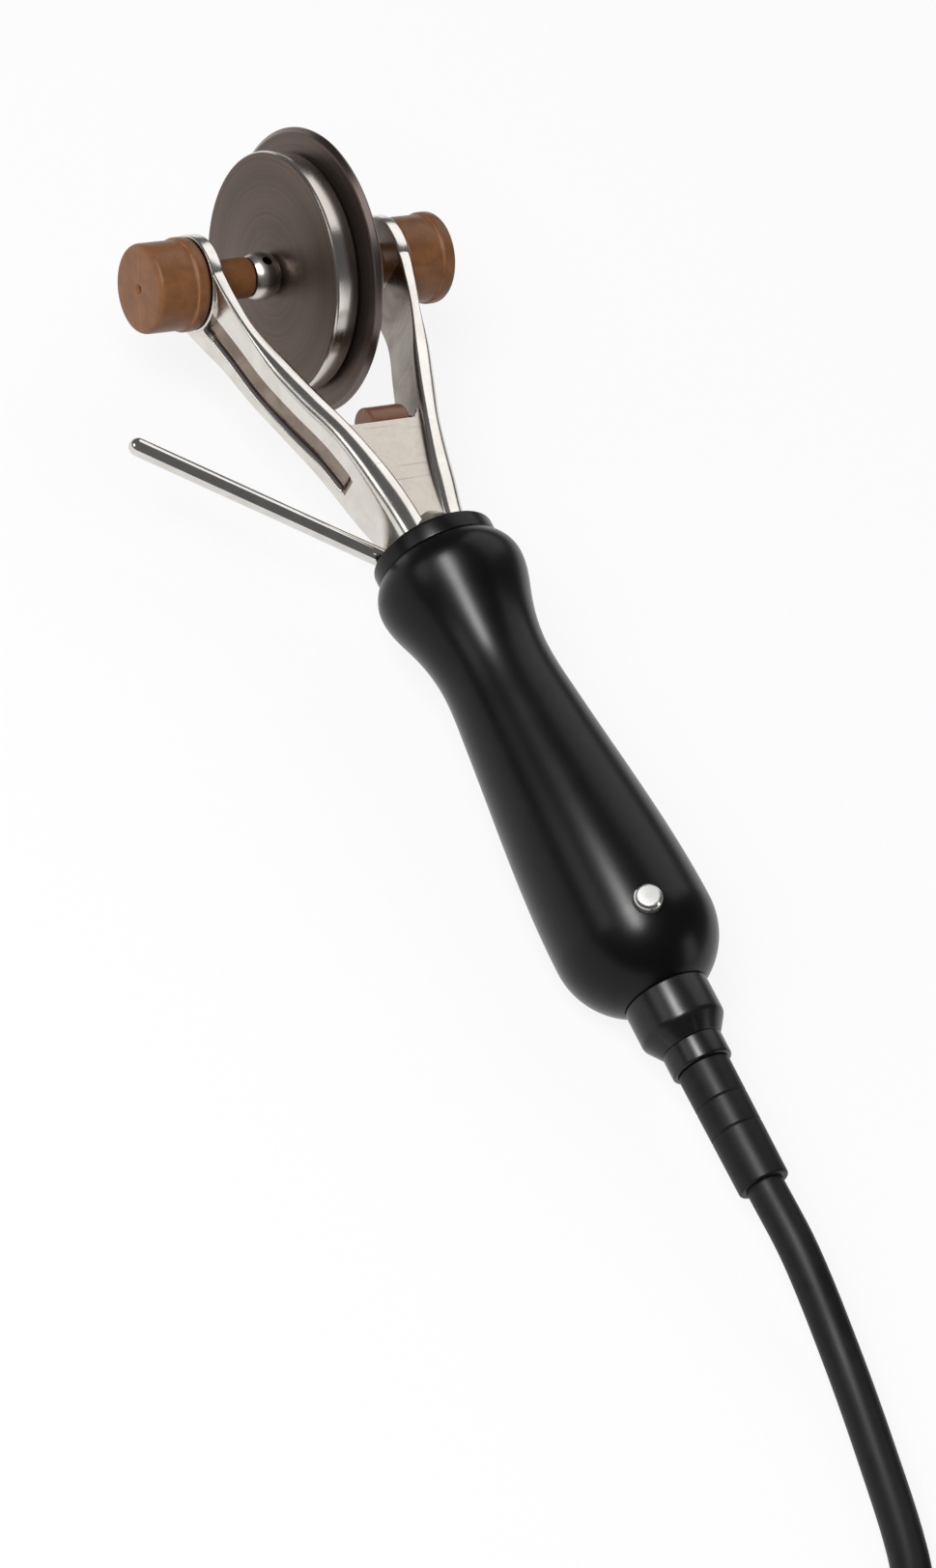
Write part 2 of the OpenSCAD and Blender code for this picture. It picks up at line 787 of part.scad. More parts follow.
module switch_leads() {
    start = button_back - switch_l + switch_rear - tab_l - fit;
    color("#7a3a33")
        rotate([-button_turn, 0, 0])
            for (z = [-tab_z, tab_z])
                translate([0, 0, z])
                    behind(block_back + block_len + fit)
                        cylinder(r = lead_d / 2, h = start - 2 * fit - block_back - block_len);
}
// Compression spring under the button, one unbroken coil
module switch_spring() {
    low = switch_neck_top + spring_wire_r + fit;
    high = flange_bottom + pocket_depth - spring_wire_r - fit;
    mean = (stem_r + pocket_r) / 2;
    last = spring_turns * spring_rings;
    path = [for (i = [0:last])
        let (a = 360 * i / spring_rings) [mean * cos(a), -mean * sin(a), mix(low, high, i / last)]];
    color("#8d8d8b")
        at_switch()
            tube(path, spring_wire_r, coil_sides);
}
module button() {
    color("#dcdcda")
        at_switch()
            difference() {
                union() {
                    cylinder(r = flange_r, h = flange_bottom + flange_t - running);
                    cylinder(r = button_r, h = button_top - button_edge);
                    translate([0, 0, button_top - button_edge])
                        cylinder(r1 = button_r, r2 = button_r - button_edge, h = button_edge);
                }
                translate([0, 0, -over])
                    difference() {
                        cylinder(r = flange_r + over, h = flange_bottom + over);
                        translate([0, 0, stem_bottom + over])
                            cylinder(r = stem_r, h = flange_bottom);
                    }
                difference() {
                    cylinder(r = pocket_r, h = flange_bottom + pocket_depth);
                    cylinder(r = stem_r, h = button_top);
                }
            }
}
// Three cores from the cord past the switch to the block
module mains_cores() {
    aside = (switch_w + core_d) / 2 + gap;
    place = [[aside, 0], [-aside, 0], [aside, -core_d - gap]];
    apart = core_d * core_side_share;
    from = [[apart, core_d / 2], [-apart, core_d / 2], [0, -core_d * core_down_share]];
    behind_switch = -reach - button_back - switch_rear - core_d;
    before_switch = -reach - button_back + switch_l;
    at_cord = -reach - cord_inside + gap;
    at_block = -reach - block_back - block_len - gap;
    color("#6a4a2f")
        rotate([-button_turn, 0, 0])
            for (i = [0:2])
                let (near = core_close_share * place[i][0], down = place[i][1])
                    tube(smooth([[at_cord, from[i][0], from[i][1]],
                                 [at_cord + core_d, from[i][0], from[i][1]],
                                 [behind_switch, place[i][0], down], [before_switch, place[i][0], down],
                                 [at_block - core_d, near, down], [at_block, near, down]], core_steps),
                         core_d / 2, coil_sides);
}
module gland_nut() {
    color("#1b1b1c")
        behind(rear - gland_spigot)
            rotate_extrude()
                polygon([[cord_r + fit, 0], [gland_spigot_r, 0], [gland_spigot_r, gland_spigot],
                         [gland_r - gland_edge, gland_spigot],
                         [gland_r, gland_spigot + gland_edge],
                         [gland_r, gland_spigot + gland_len - gland_edge],
                         [gland_r - gland_edge, gland_spigot + gland_len],
                         [ring_r, gland_spigot + gland_len + cone_len],
                         [cord_r + fit, gland_spigot + gland_len + cone_len]]);
}
module gland_ring() {
    color("#1b1b1c")
        behind(cone_back)
            rotate_extrude()
                polygon(concat(
                    [[boot_spigot_r + fit, 0], [ring_r, 0]],
                    arc([ring_r - ring_edge, ring_len - ring_edge], ring_edge, 0, 90, corner_steps),
                    [[boot_spigot_r + fit, ring_len]]));
}
module boot() {
    end_r = boot_r - boot_taper;
    end = boot_spigot_len + boot_len;
    color("#202021")
        behind(ring_back - boot_spigot_len)
            rotate_extrude()
                polygon(concat(
                    [[cord_r + fit, 0], [boot_spigot_r, 0], [boot_spigot_r, boot_spigot_len],
                     [boot_r, boot_spigot_len]],
                    [for (s = boot_groove_shares) each
                        let (z = boot_spigot_len + s * boot_len, r = mix(boot_r, end_r, s))
                        [[r, z - boot_groove], [r - boot_groove, z], [r, z + boot_groove]]],
                    arc([end_r - boot_edge, end - boot_edge], boot_edge, 0, 90, corner_steps),
                    [[cord_r + fit, end]]));
}
module cord_inner() {
    color("#1d1d1e")
        behind(cord_inside)
            cylinder(r = cord_r, h = boot_back - cord_inside);
}

// Free cord, coil, tail and plug, on the floor
cord_points = concat([cord_exit + fit * cord_along, cord_exit + cord_lead_in * cord_along], cord_route);
coil_lead = coil_at + [0, coil_r, 0];
function coil_radius(t) = coil_r - coil_pitch * (coil_low_turns - abs(t - coil_low_turns));
function coil_rise(t) =
    let (u = min(1, max(0, (t - coil_low_turns + coil_climb) / (2 * coil_climb))))
    coil_pitch * u * u * (3 - 2 * u);
coil_count = ceil(coil_turns * coil_rings);
coil_spiral = [for (i = [0:coil_count])
    let (t = coil_turns * i / coil_count, a = 90 + 360 * t)
    coil_at + [coil_radius(t) * cos(a), coil_radius(t) * sin(a), coil_rise(t)]];
coil_last = coil_spiral[coil_count];
coil_path = concat([coil_lead + [cord_d, 0, 0]], coil_spiral, [coil_last - [cord_d, 0, 0]]);
coil_near = min([for (i = [0:coil_count]) for (j = [i + coil_rings / 2:coil_count])
    norm(coil_spiral[i] - coil_spiral[j])]) - cord_d;
echo(least_gap_of_the_coil_to_itself = coil_near);
module cord() {
    color("#1d1d1e")
        tube(smooth(concat(cord_points, [coil_lead + [cord_d + cord_join, 0, 0]]), cord_steps),
             cord_r, cord_sides);
}
module cord_coil() {
    color("#1d1d1e")
        tube(coil_path, cord_r, coil_sides);
}
module cord_tail() {
    color("#1d1d1e")
        tube(smooth(concat([coil_last - [cord_d + cord_join, 0, 0]], tail_route,
                           [plug_at + [0, cord_join, 0]]), cord_steps), cord_r, cord_sides);
}
module cord_tie() {
    inner = coil_radius(coil_low_turns) - cord_r - tie_room;
    span = coil_r + cord_r + tie_room - inner;
    tall = coil_pitch + cord_d + gap;
    color("#3a3a3c")
        translate([coil_at[0], coil_at[1], coil_at[2] - cord_r - gap / 2])
            rotate([0, 0, tie_turn])
                translate([inner, -tie_w / 2, 0])
                    difference() {
                        translate([-tie_t, 0, -tie_t])
                            cube([span + 2 * tie_t, tie_w, tall + 2 * tie_t]);
                        translate([0, -over, 0])
                            cube([span, tie_w + 2 * over, tall]);
                    }
}
// Local x runs out of the plug, along its pins
module at_plug() {
    translate(plug_at)
        rotate([0, 0, -90])
            children();
}
module plug_body() {
    color("#1f1f20")
        at_plug()
            difference() {
                union() {
                    rotate([0, 90, 0])
                        cylinder(r1 = plug_neck_r - rim_edge, r2 = plug_neck_r + rim_edge,
                                 h = plug_neck_l + over);
                    translate([plug_neck_l, 0, -plug_h / 2])
                        linear_extrude(height = plug_h)
                            polygon([[0, plug_edge - plug_w / 2], [plug_edge, -plug_w / 2],
                                     [plug_l, -plug_w / 2], [plug_l, plug_w / 2],
                                     [plug_edge, plug_w / 2], [0, plug_w / 2 - plug_edge]]);
                }
                for (side = [-1, 1])
                    translate([plug_neck_l + plug_l / 2, side * (plug_w / 2 + plug_edge), -plug_h])
                        cylinder(r = plug_grip_share * plug_edge, h = 2 * plug_h);
            }
}
module plug_pins() {
    front = plug_neck_l + plug_l + fit;
    color("#c2a65a")
        at_plug() {
            for (side = [-1, 1])
                translate([front, side * blade_pitch / 2 - blade_pin[1] / 2, 0])
                    cube(blade_pin);
            translate([front, 0, -earth_pin_drop])
                rotate([0, 90, 0])
                    cylinder(r = earth_pin_d / 2, h = earth_pin_l);
        }
}

lay() axle();
lay() drum();
lay() blade_disc();
lay() clamp_screws();
lay() left_collar();
lay() right_collar();
lay() collar_screws();
lay() left_bush();
lay() right_bush();
lay() left_cap();
lay() right_cap();
lay() fork();
lay() guide_rod();
lay() heater_body();
lay() heater_stud();
lay() heater_leads();
lay() handle();
lay() tang_washer();
lay() tang_nut();
lay() terminal_block();
lay() earth_lead();
lay() switch_body();
lay() switch_tabs();
lay() switch_leads();
lay() switch_spring();
lay() button();
lay() mains_cores();
lay() gland_nut();
lay() gland_ring();
lay() boot();
lay() cord_inner();
cord();
cord_coil();
cord_tail();
cord_tie();
plug_body();
plug_pins();
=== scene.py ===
import bpy
import bmesh
import json
import math
from mathutils import Matrix, Vector

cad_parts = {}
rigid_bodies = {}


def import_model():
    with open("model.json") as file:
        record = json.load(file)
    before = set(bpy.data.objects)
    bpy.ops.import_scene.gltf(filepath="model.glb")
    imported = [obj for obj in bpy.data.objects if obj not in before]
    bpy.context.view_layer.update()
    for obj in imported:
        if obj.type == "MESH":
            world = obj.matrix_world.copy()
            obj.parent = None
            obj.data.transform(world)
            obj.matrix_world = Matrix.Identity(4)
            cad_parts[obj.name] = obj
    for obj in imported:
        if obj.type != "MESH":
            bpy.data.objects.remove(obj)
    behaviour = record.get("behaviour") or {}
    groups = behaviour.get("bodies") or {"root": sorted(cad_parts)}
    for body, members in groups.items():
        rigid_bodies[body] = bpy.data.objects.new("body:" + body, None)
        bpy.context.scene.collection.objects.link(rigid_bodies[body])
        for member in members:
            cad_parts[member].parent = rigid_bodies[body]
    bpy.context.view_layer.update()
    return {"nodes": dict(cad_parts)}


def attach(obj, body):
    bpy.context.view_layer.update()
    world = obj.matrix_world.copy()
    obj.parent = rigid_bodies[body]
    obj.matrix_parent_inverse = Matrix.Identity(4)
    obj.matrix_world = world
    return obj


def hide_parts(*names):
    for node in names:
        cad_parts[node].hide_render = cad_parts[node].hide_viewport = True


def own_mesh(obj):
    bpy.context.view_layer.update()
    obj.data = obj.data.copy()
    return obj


for stray in list(bpy.data.objects):  # an empty file to start from
    bpy.data.objects.remove(stray)
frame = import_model()
nodes = frame["nodes"]
print("frame loaded,", len(nodes), "nodes")

mm = 0.001
turn = math.radians
fit = 0.05  # room between fitted pieces, in mm
sharpFrom = 28.0  # edges that bend more than this, in degrees, stay crisp

# how the tool lies on the floor: blade rim and grip bulge touch it
lying = {"pitch": 4.60822, "at": (101.8034, -8.6728, 31.5)}
toolPlace = Matrix.Translation(Vector(lying["at"]) * mm) @ Matrix.Rotation(-turn(lying["pitch"]), 4, "Y")
reach = 76.5  # wheel centre to the handle's lip


def shift(x, y, z):  # a move in mm
    return Matrix.Translation((x * mm, y * mm, z * mm))


def roll(angle, axis):  # a turn in degrees
    return Matrix.Rotation(turn(angle), 4, axis)


def axlePlace(y):  # local z along the axle
    return toolPlace @ shift(0, y, 0) @ roll(-90, "X")


def sidePlace(side):  # local z outwards along the axle, to the left (1) or right (-1)
    return axlePlace(0) @ roll(0 if side > 0 else 180, "X")


def behindPlace(back):  # local z backwards from the lip
    return toolPlace @ shift(-(reach + back), 0, 0) @ roll(-90, "Y")


def addObject(name, data):
    thing = bpy.data.objects.new(name, data)
    bpy.context.scene.collection.objects.link(thing)
    return thing


# camera
shot = {
    "right": (-0.44693, -0.82527, 0.34523),
    "up": (0.76786, -0.15593, 0.62135),
    "at": (-0.45011, 0.50605, 0.66194),
    "lens": 101.983,
    "sensor": 36.0,
    "near": 0.01,
}


def makeCamera():
    right = Vector(shot["right"]).normalized()
    back = right.cross(Vector(shot["up"])).normalized()
    up = back.cross(right)
    data = bpy.data.cameras.new("photoCamera")
    data.lens = shot["lens"]
    data.sensor_width = shot["sensor"]
    data.clip_start = shot["near"]
    camera = addObject("photoCamera", data)
    turned = Matrix((right, up, back)).transposed().to_4x4()
    camera.matrix_world = Matrix.Translation(Vector(shot["at"])) @ turned
    bpy.context.scene.camera = camera


makeCamera()
print("camera placed")


# small helpers for shader trees
def addNode(tree, kind, at=(0, 0), **settings):
    node = tree.nodes.new(kind)
    node.location = at
    for label, value in settings.items():
        setattr(node, label, value)
    return node


def setInputs(node, **values):
    for label, value in values.items():
        node.inputs[label.replace("_", " ")].default_value = value


def newGroup(label, inputs, outputs):
    tree = bpy.data.node_groups.new(label, "ShaderNodeTree")
    for name, kind, value in inputs:
        socket = tree.interface.new_socket(name, in_out="INPUT", socket_type=kind)
        socket.default_value = value
    for name, kind in outputs:
        tree.interface.new_socket(name, in_out="OUTPUT", socket_type=kind)
    source = addNode(tree, "NodeGroupInput", (-900, 0))
    sink = addNode(tree, "NodeGroupOutput", (700, 0))
    return tree, source, sink


def mathNode(tree, operation, first, second=None):
    node = addNode(tree, "ShaderNodeMath", operation=operation)
    for slot, value in enumerate((first, second)):
        if value is None:
            continue
        if isinstance(value, (int, float)):
            node.inputs[slot].default_value = value
        else:
            tree.links.new(value, node.inputs[slot])
    return node.outputs[0]


def ramp(tree, fac, low, high):  # 0 below low, 1 above high
    node = addNode(tree, "ShaderNodeMapRange", interpolation_type="SMOOTHSTEP")
    setInputs(node, From_Min=low, From_Max=high, To_Min=0.0, To_Max=1.0)
    tree.links.new(fac, node.inputs["Value"])
    return node.outputs["Result"]


def spread(tree, fac, low, high):  # 0..1 to low..high
    node = addNode(tree, "ShaderNodeMapRange")
    setInputs(node, To_Min=low, To_Max=high)
    tree.links.new(fac, node.inputs["Value"])
    return node.outputs["Result"]


def mixColor(tree, fac, first, second):
    node = addNode(tree, "ShaderNodeMix", data_type="RGBA")
    tree.links.new(fac, node.inputs["Factor"])
    for slot, value in ((6, first), (7, second)):  # the colour sockets, A and B
        if isinstance(value, tuple):
            node.inputs[slot].default_value = value
        else:
            tree.links.new(value, node.inputs[slot])
    return node.outputs[2]


def mixShader(tree, fac, first, second, sink):
    mix = addNode(tree, "ShaderNodeMixShader")
    tree.links.new(fac, mix.inputs["Fac"])
    tree.links.new(first.outputs[0], mix.inputs[1])
    tree.links.new(second.outputs[0], mix.inputs[2])
    tree.links.new(mix.outputs[0], tree.nodes[sink].inputs["Surface"])


# effects shared by several finishes
def turnedRings():  # tool marks round the local z axis
    tree, source, sink = newGroup(
        "turnedRings",
        [("Rings", "NodeSocketFloat", 2500.0), ("Runout", "NodeSocketFloat", 0.00004)],
        [("Height", "NodeSocketFloat"), ("Shade", "NodeSocketFloat")])
    place = addNode(tree, "ShaderNodeTexCoord")
    split = addNode(tree, "ShaderNodeSeparateXYZ")
    tree.links.new(place.outputs["Object"], split.inputs[0])
    across = [mathNode(tree, "POWER", split.outputs[axis], 2.0) for axis in (0, 1)]
    flat = mathNode(tree, "SQRT", mathNode(tree, "ADD", across[0], across[1]))
    drift = addNode(tree, "ShaderNodeTexNoise")
    setInputs(drift, Scale=90.0, Detail=2.0)
    tree.links.new(place.outputs["Object"], drift.inputs["Vector"])
    away = mathNode(tree, "MULTIPLY", drift.outputs["Fac"], source.outputs["Runout"])
    along = mathNode(tree, "ADD", mathNode(tree, "ADD", flat, split.outputs[2]), away)
    count = mathNode(tree, "MULTIPLY", along, source.outputs["Rings"])
    lines = addNode(tree, "ShaderNodeTexNoise", noise_dimensions="1D")
    setInputs(lines, Scale=1.0, Detail=4.0, Roughness=0.7)
    tree.links.new(count, lines.inputs["W"])
    broad = addNode(tree, "ShaderNodeTexNoise", noise_dimensions="1D")
    setInputs(broad, Scale=0.12, Detail=2.0)
    tree.links.new(count, broad.inputs["W"])
    both = mathNode(tree, "ADD", lines.outputs["Fac"], broad.outputs["Fac"])
    tree.links.new(lines.outputs["Fac"], sink.inputs["Height"])
    tree.links.new(mathNode(tree, "MULTIPLY", both, 0.5), sink.inputs["Shade"])
    return tree


def fineScratches():  # thin hairlines in two directions
    tree, source, sink = newGroup(
        "fineScratches",
        [("Scale", "NodeSocketFloat", 60.0), ("Rarity", "NodeSocketFloat", 0.68)],
        [("Mask", "NodeSocketFloat")])
    crisp = 14.0  # how hard the hairlines' edges are
    place = addNode(tree, "ShaderNodeTexCoord")
    masks = []
    for angles, stretch in (((0.4, 0.2, 0.9), (1.0, 34.0, 34.0)), ((1.1, 0.7, -0.5), (30.0, 1.0, 30.0))):
        mapping = addNode(tree, "ShaderNodeMapping")
        setInputs(mapping, Rotation=angles, Scale=stretch)
        tree.links.new(place.outputs["Object"], mapping.inputs["Vector"])
        lines = addNode(tree, "ShaderNodeTexNoise")
        setInputs(lines, Detail=1.0, Roughness=0.4)
        tree.links.new(source.outputs["Scale"], lines.inputs["Scale"])
        tree.links.new(mapping.outputs[0], lines.inputs["Vector"])
        over = mathNode(tree, "SUBTRACT", lines.outputs["Fac"], source.outputs["Rarity"])
        steep = mathNode(tree, "MULTIPLY", over, crisp)
        masks.append(mathNode(tree, "MINIMUM", mathNode(tree, "MAXIMUM", steep, 0.0), 1.0))
    tree.links.new(mathNode(tree, "MAXIMUM", masks[0], masks[1]), sink.inputs["Mask"])
    return tree


def mouldFlow():  # slow mottling and a fine skin
    tree, source, sink = newGroup(
        "mouldFlow",
        [("Scale", "NodeSocketFloat", 180.0), ("Light", "NodeSocketColor", (0.5, 0.5, 0.5, 1)),
         ("Dark", "NodeSocketColor", (0.4, 0.4, 0.4, 1))],
        [("Color", "NodeSocketColor"), ("Height", "NodeSocketFloat"), ("Grain", "NodeSocketFloat")])
    place = addNode(tree, "ShaderNodeTexCoord")
    slow = addNode(tree, "ShaderNodeTexNoise")
    setInputs(slow, Detail=3.0, Roughness=0.55, Distortion=0.8)
    tree.links.new(source.outputs["Scale"], slow.inputs["Scale"])
    tree.links.new(place.outputs["Object"], slow.inputs["Vector"])
    skin = addNode(tree, "ShaderNodeTexNoise")
    setInputs(skin, Scale=3200.0, Detail=2.0)
    tree.links.new(place.outputs["Object"], skin.inputs["Vector"])
    patches = ramp(tree, slow.outputs["Fac"], 0.3, 0.7)
    tone = mixColor(tree, patches, source.outputs["Dark"], source.outputs["Light"])
    tree.links.new(tone, sink.inputs["Color"])
    tree.links.new(skin.outputs["Fac"], sink.inputs["Height"])
    tree.links.new(slow.outputs["Fac"], sink.inputs["Grain"])
    return tree


def edgeRub():  # corners rubbed bright
    tree, source, sink = newGroup(
        "edgeRub", [("Start", "NodeSocketFloat", 0.52), ("End", "NodeSocketFloat", 0.62)],
        [("Mask", "NodeSocketFloat")])
    shape = addNode(tree, "ShaderNodeNewGeometry")
    place = addNode(tree, "ShaderNodeTexCoord")
    spots = addNode(tree, "ShaderNodeTexNoise")
    setInputs(spots, Scale=420.0, Detail=3.0)
    tree.links.new(place.outputs["Object"], spots.inputs["Vector"])
    span = addNode(tree, "ShaderNodeMapRange")
    tree.links.new(shape.outputs["Pointiness"], span.inputs["Value"])
    tree.links.new(source.outputs["Start"], span.inputs["From Min"])
    tree.links.new(source.outputs["End"], span.inputs["From Max"])
    patchy = ramp(tree, spots.outputs["Fac"], 0.25, 0.6)
    tree.links.new(mathNode(tree, "MULTIPLY", span.outputs["Result"], patchy), sink.inputs["Mask"])
    return tree


groups = {"rings": turnedRings(), "scratches": fineScratches(), "flow": mouldFlow(), "rub": edgeRub()}


def useGroup(tree, label, **values):
    node = addNode(tree, "ShaderNodeGroup")
    node.node_tree = groups[label]
    setInputs(node, **values)
    return node


def bump(tree, shader, height, strength, depth):  # depth in mm
    node = addNode(tree, "ShaderNodeBump")
    setInputs(node, Strength=strength, Distance=depth * mm)
    tree.links.new(height, node.inputs["Height"])
    tree.links.new(node.outputs["Normal"], shader.inputs["Normal"])


def newFinish(label):
    finish = bpy.data.materials.new(label)
    finish.use_nodes = True
    tree = finish.node_tree
    return finish, tree, tree.nodes["Principled BSDF"]


def rgb(red, green, blue):  # colour as seen on screen, 0..255
    def line(v):
        v = v / 255
        return v / 12.92 if v <= 0.04045 else ((v + 0.055) / 1.055) ** 2.4
    return (line(red), line(green), line(blue), 1.0)


# light tone, dark tone, roughness, rings in a metre, depth of a ring in mm, metallic, sheen round the axis
turnedLooks = {
    "bladeSteel": ((104, 92, 86), (82, 71, 66), (0.34, 0.44), 1900.0, 0.004, 0.85, 0.0),
    "bladeEdge": ((128, 116, 110), (100, 90, 85), (0.22, 0.3), 1900.0, 0.004, 1.0, 0.0),
    "wheelFace": ((112, 99, 90), (92, 80, 72), (0.34, 0.42), 1600.0, 0.006, 1.0, 0.7),
    "wheelRim": ((212, 206, 200), (184, 177, 170), (0.16, 0.24), 2600.0, 0.008, 1.0, 0.0),
    "darkSteel": ((62, 56, 52), (42, 38, 36), (0.4, 0.55), 1500.0, 0.02, 1.0, 0.0),
    "collarSteel": ((214, 208, 200), (196, 189, 181), (0.24, 0.32), 2200.0, 0.004, 1.0, 0.0),
    "plainSteel": ((170, 168, 165), (140, 138, 135), (0.22, 0.34), 2000.0, 0.01, 1.0, 0.0),
    "buttonNickel": ((226, 226, 223), (210, 209, 206), (0.34, 0.42), 3000.0, 0.003, 1.0, 0.0),
    "brass": ((214, 182, 104), (186, 152, 78), (0.2, 0.32), 2000.0, 0.01, 1.0, 0.0),
}


def turnedMetal(label, light, dark, rough, rings, depth, metal, sheen):
    finish, tree, shader = newFinish(label)
    lathe = useGroup(tree, "rings", Rings=rings)
    bands = ramp(tree, lathe.outputs["Shade"], 0.25, 0.75)
    tree.links.new(mixColor(tree, bands, dark, light), shader.inputs["Base Color"])
    tree.links.new(spread(tree, lathe.outputs["Shade"], *rough), shader.inputs["Roughness"])
    setInputs(shader, Metallic=metal, Anisotropic=sheen)
    if sheen:
        around = addNode(tree, "ShaderNodeTangent", direction_type="RADIAL", axis="Z")
        tree.links.new(around.outputs[0], shader.inputs["Tangent"])
    bump(tree, shader, lathe.outputs["Height"], strength=0.35, depth=depth)
    return finish


# light tone, dark tone, roughness, rarity of scratches, scale of the mottling
polishedLooks = {
    "castPolish": ((226, 222, 216), (214, 209, 202), (0.16, 0.22), 0.72, 140.0),
    # painted reflection: this finish is darker to stand in for the dark-brown surroundings reflected in the
    # arms' channel floor
    "castRecess": ((150, 136, 124), (122, 108, 97), (0.16, 0.26), 0.72, 140.0),
    # painted reflection: this finish is darker to stand in for the dark drum reflected on the arms' inner
    # faces
    "castTint": ((160, 149, 139), (120, 110, 102), (0.2, 0.3), 0.7, 90.0),
    "castSatin": ((218, 211, 200), (206, 198, 187), (0.36, 0.46), 0.7, 260.0),
    "rodChrome": ((222, 219, 214), (210, 206, 201), (0.1, 0.14), 0.8, 140.0),
}


def polishedMetal(label, light, dark, rough, rarity, flow):
    finish, tree, shader = newFinish(label)
    cast = useGroup(tree, "flow", Scale=flow, Light=light, Dark=dark)
    hair = useGroup(tree, "scratches", Scale=55.0, Rarity=rarity)
    tree.links.new(cast.outputs["Color"], shader.inputs["Base Color"])
    duller = mathNode(tree, "MULTIPLY", hair.outputs["Mask"], 0.15)  # hairlines are rougher by this
    shine = mathNode(tree, "ADD", spread(tree, cast.outputs["Grain"], *rough), duller)
    tree.links.new(shine, shader.inputs["Roughness"])
    setInputs(shader, Metallic=1.0)
    bump(tree, shader, cast.outputs["Grain"], strength=0.2, depth=0.01)
    return finish


# light tone, dark tone, roughness, depth of the skin in mm, coat, specular level
mouldedLooks = {
    "brownMoulding": ((122, 81, 50), (106, 69, 42), (0.34, 0.42), 0.006, 0.05, 0.22),
    "heaterGlaze": ((112, 70, 46), (98, 60, 40), (0.3, 0.4), 0.006, 0.1, 0.5),
    "glandMoulding": ((14, 14, 14), (9, 9, 10), (0.26, 0.34), 0.006, 0.0, 0.35),
    "bootRubber": ((17, 17, 18), (12, 12, 13), (0.38, 0.5), 0.01, 0.0, 0.2),
    "cordRubber": ((16, 16, 17), (11, 11, 12), (0.4, 0.52), 0.01, 0.0, 0.2),
    "tieStrap": ((60, 60, 62), (48, 48, 50), (0.5, 0.65), 0.04, 0.0, 0.5),
    "plugMoulding": ((34, 34, 35), (26, 26, 27), (0.36, 0.5), 0.03, 0.0, 0.5),
    "whiteMoulding": ((224, 219, 208), (208, 202, 190), (0.36, 0.5), 0.02, 0.0, 0.5),
    "switchMoulding": ((48, 48, 50), (38, 38, 40), (0.36, 0.5), 0.02, 0.0, 0.5),
    "leadSleeve": ((214, 206, 190), (196, 186, 168), (0.45, 0.6), 0.03, 0.0, 0.5),
    "earthSleeve": ((74, 132, 70), (58, 110, 56), (0.45, 0.6), 0.03, 0.0, 0.5),
    "redSleeve": ((132, 62, 54), (110, 48, 42), (0.45, 0.6), 0.03, 0.0, 0.5),
    "coreSleeve": ((112, 78, 50), (92, 62, 40), (0.45, 0.6), 0.03, 0.0, 0.5),
}


def moulding(label, light, dark, rough, skin, coat, level):
    finish, tree, shader = newFinish(label)
    body = useGroup(tree, "flow", Scale=220.0, Light=light, Dark=dark)
    rub = useGroup(tree, "rub")
    paler = tuple(min(1.0, c * 1.6 + 0.01) for c in light[:3]) + (1.0,)  # tone of rubbed corners
    worn = mathNode(tree, "MULTIPLY", rub.outputs["Mask"], 0.5)
    tree.links.new(mixColor(tree, worn, body.outputs["Color"], paler), shader.inputs["Base Color"])
    tree.links.new(spread(tree, body.outputs["Grain"], *rough), shader.inputs["Roughness"])
    setInputs(shader, Specular_IOR_Level=level, Coat_Weight=coat, Coat_Roughness=0.12)
    bump(tree, shader, body.outputs["Height"], strength=0.3, depth=skin)
    return finish


# black lacquer on faint lathe rings
lacquer = {"light": (9, 8, 8), "dark": (5, 5, 5), "mottling": 60.0, "rough": (0.23, 0.29), "ringRough": 0.06,
           "rings": 1400.0, "depth": 0.002, "level": 0.22}


def handleLacquer():
    finish, tree, shader = newFinish("handleLacquer")
    body = useGroup(tree, "flow", Scale=lacquer["mottling"], Light=rgb(*lacquer["light"]),
                    Dark=rgb(*lacquer["dark"]))
    lathe = useGroup(tree, "rings", Rings=lacquer["rings"])
    tree.links.new(body.outputs["Color"], shader.inputs["Base Color"])
    ringed = mathNode(tree, "MULTIPLY", lathe.outputs["Shade"], lacquer["ringRough"])
    shine = mathNode(tree, "ADD", spread(tree, body.outputs["Grain"], *lacquer["rough"]), ringed)
    tree.links.new(shine, shader.inputs["Roughness"])
    setInputs(shader, Specular_IOR_Level=lacquer["level"])
    bump(tree, shader, lathe.outputs["Height"], strength=0.15, depth=lacquer["depth"])
    return finish


finishes = {"handleLacquer": handleLacquer()}
for looks, make in ((turnedLooks, turnedMetal), (polishedLooks, polishedMetal), (mouldedLooks, moulding)):
    for label, (light, dark, *rest) in looks.items():
        finishes[label] = make(label, rgb(*light), rgb(*dark), *rest)
print("finishes made:", len(finishes))


# small helpers for curves, with u from 0 to 1
def softStep(u):
    u = min(1, max(0, u))
    return u * u * (3 - 2 * u)


def blend(a, slopeA, b, slopeB, u):  # from a to b, leaving and arriving at these slopes
    return (a * (2 * u ** 3 - 3 * u * u + 1) + slopeA * (u ** 3 - 2 * u * u + u)
            + b * (3 * u * u - 2 * u ** 3) + slopeB * (u ** 3 - u * u))


# meshes and pieces
def meshFrom(name, work):
    mesh = bpy.data.meshes.new(name)
    work.to_mesh(mesh)
    work.free()
    return mesh


def smooth(mesh):
    mesh.shade_smooth()
    mesh.set_sharp_from_angle(angle=turn(sharpFrom))


def meshObject(name, mesh, place, finishNames):
    for label in finishNames:
        mesh.materials.append(finishes[label])
    smooth(mesh)
    piece = addObject(name, mesh)
    piece.matrix_world = place
    return piece


def stands(piece, body, slot, *replaced):
    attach(piece, body)
    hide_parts(*replaced)


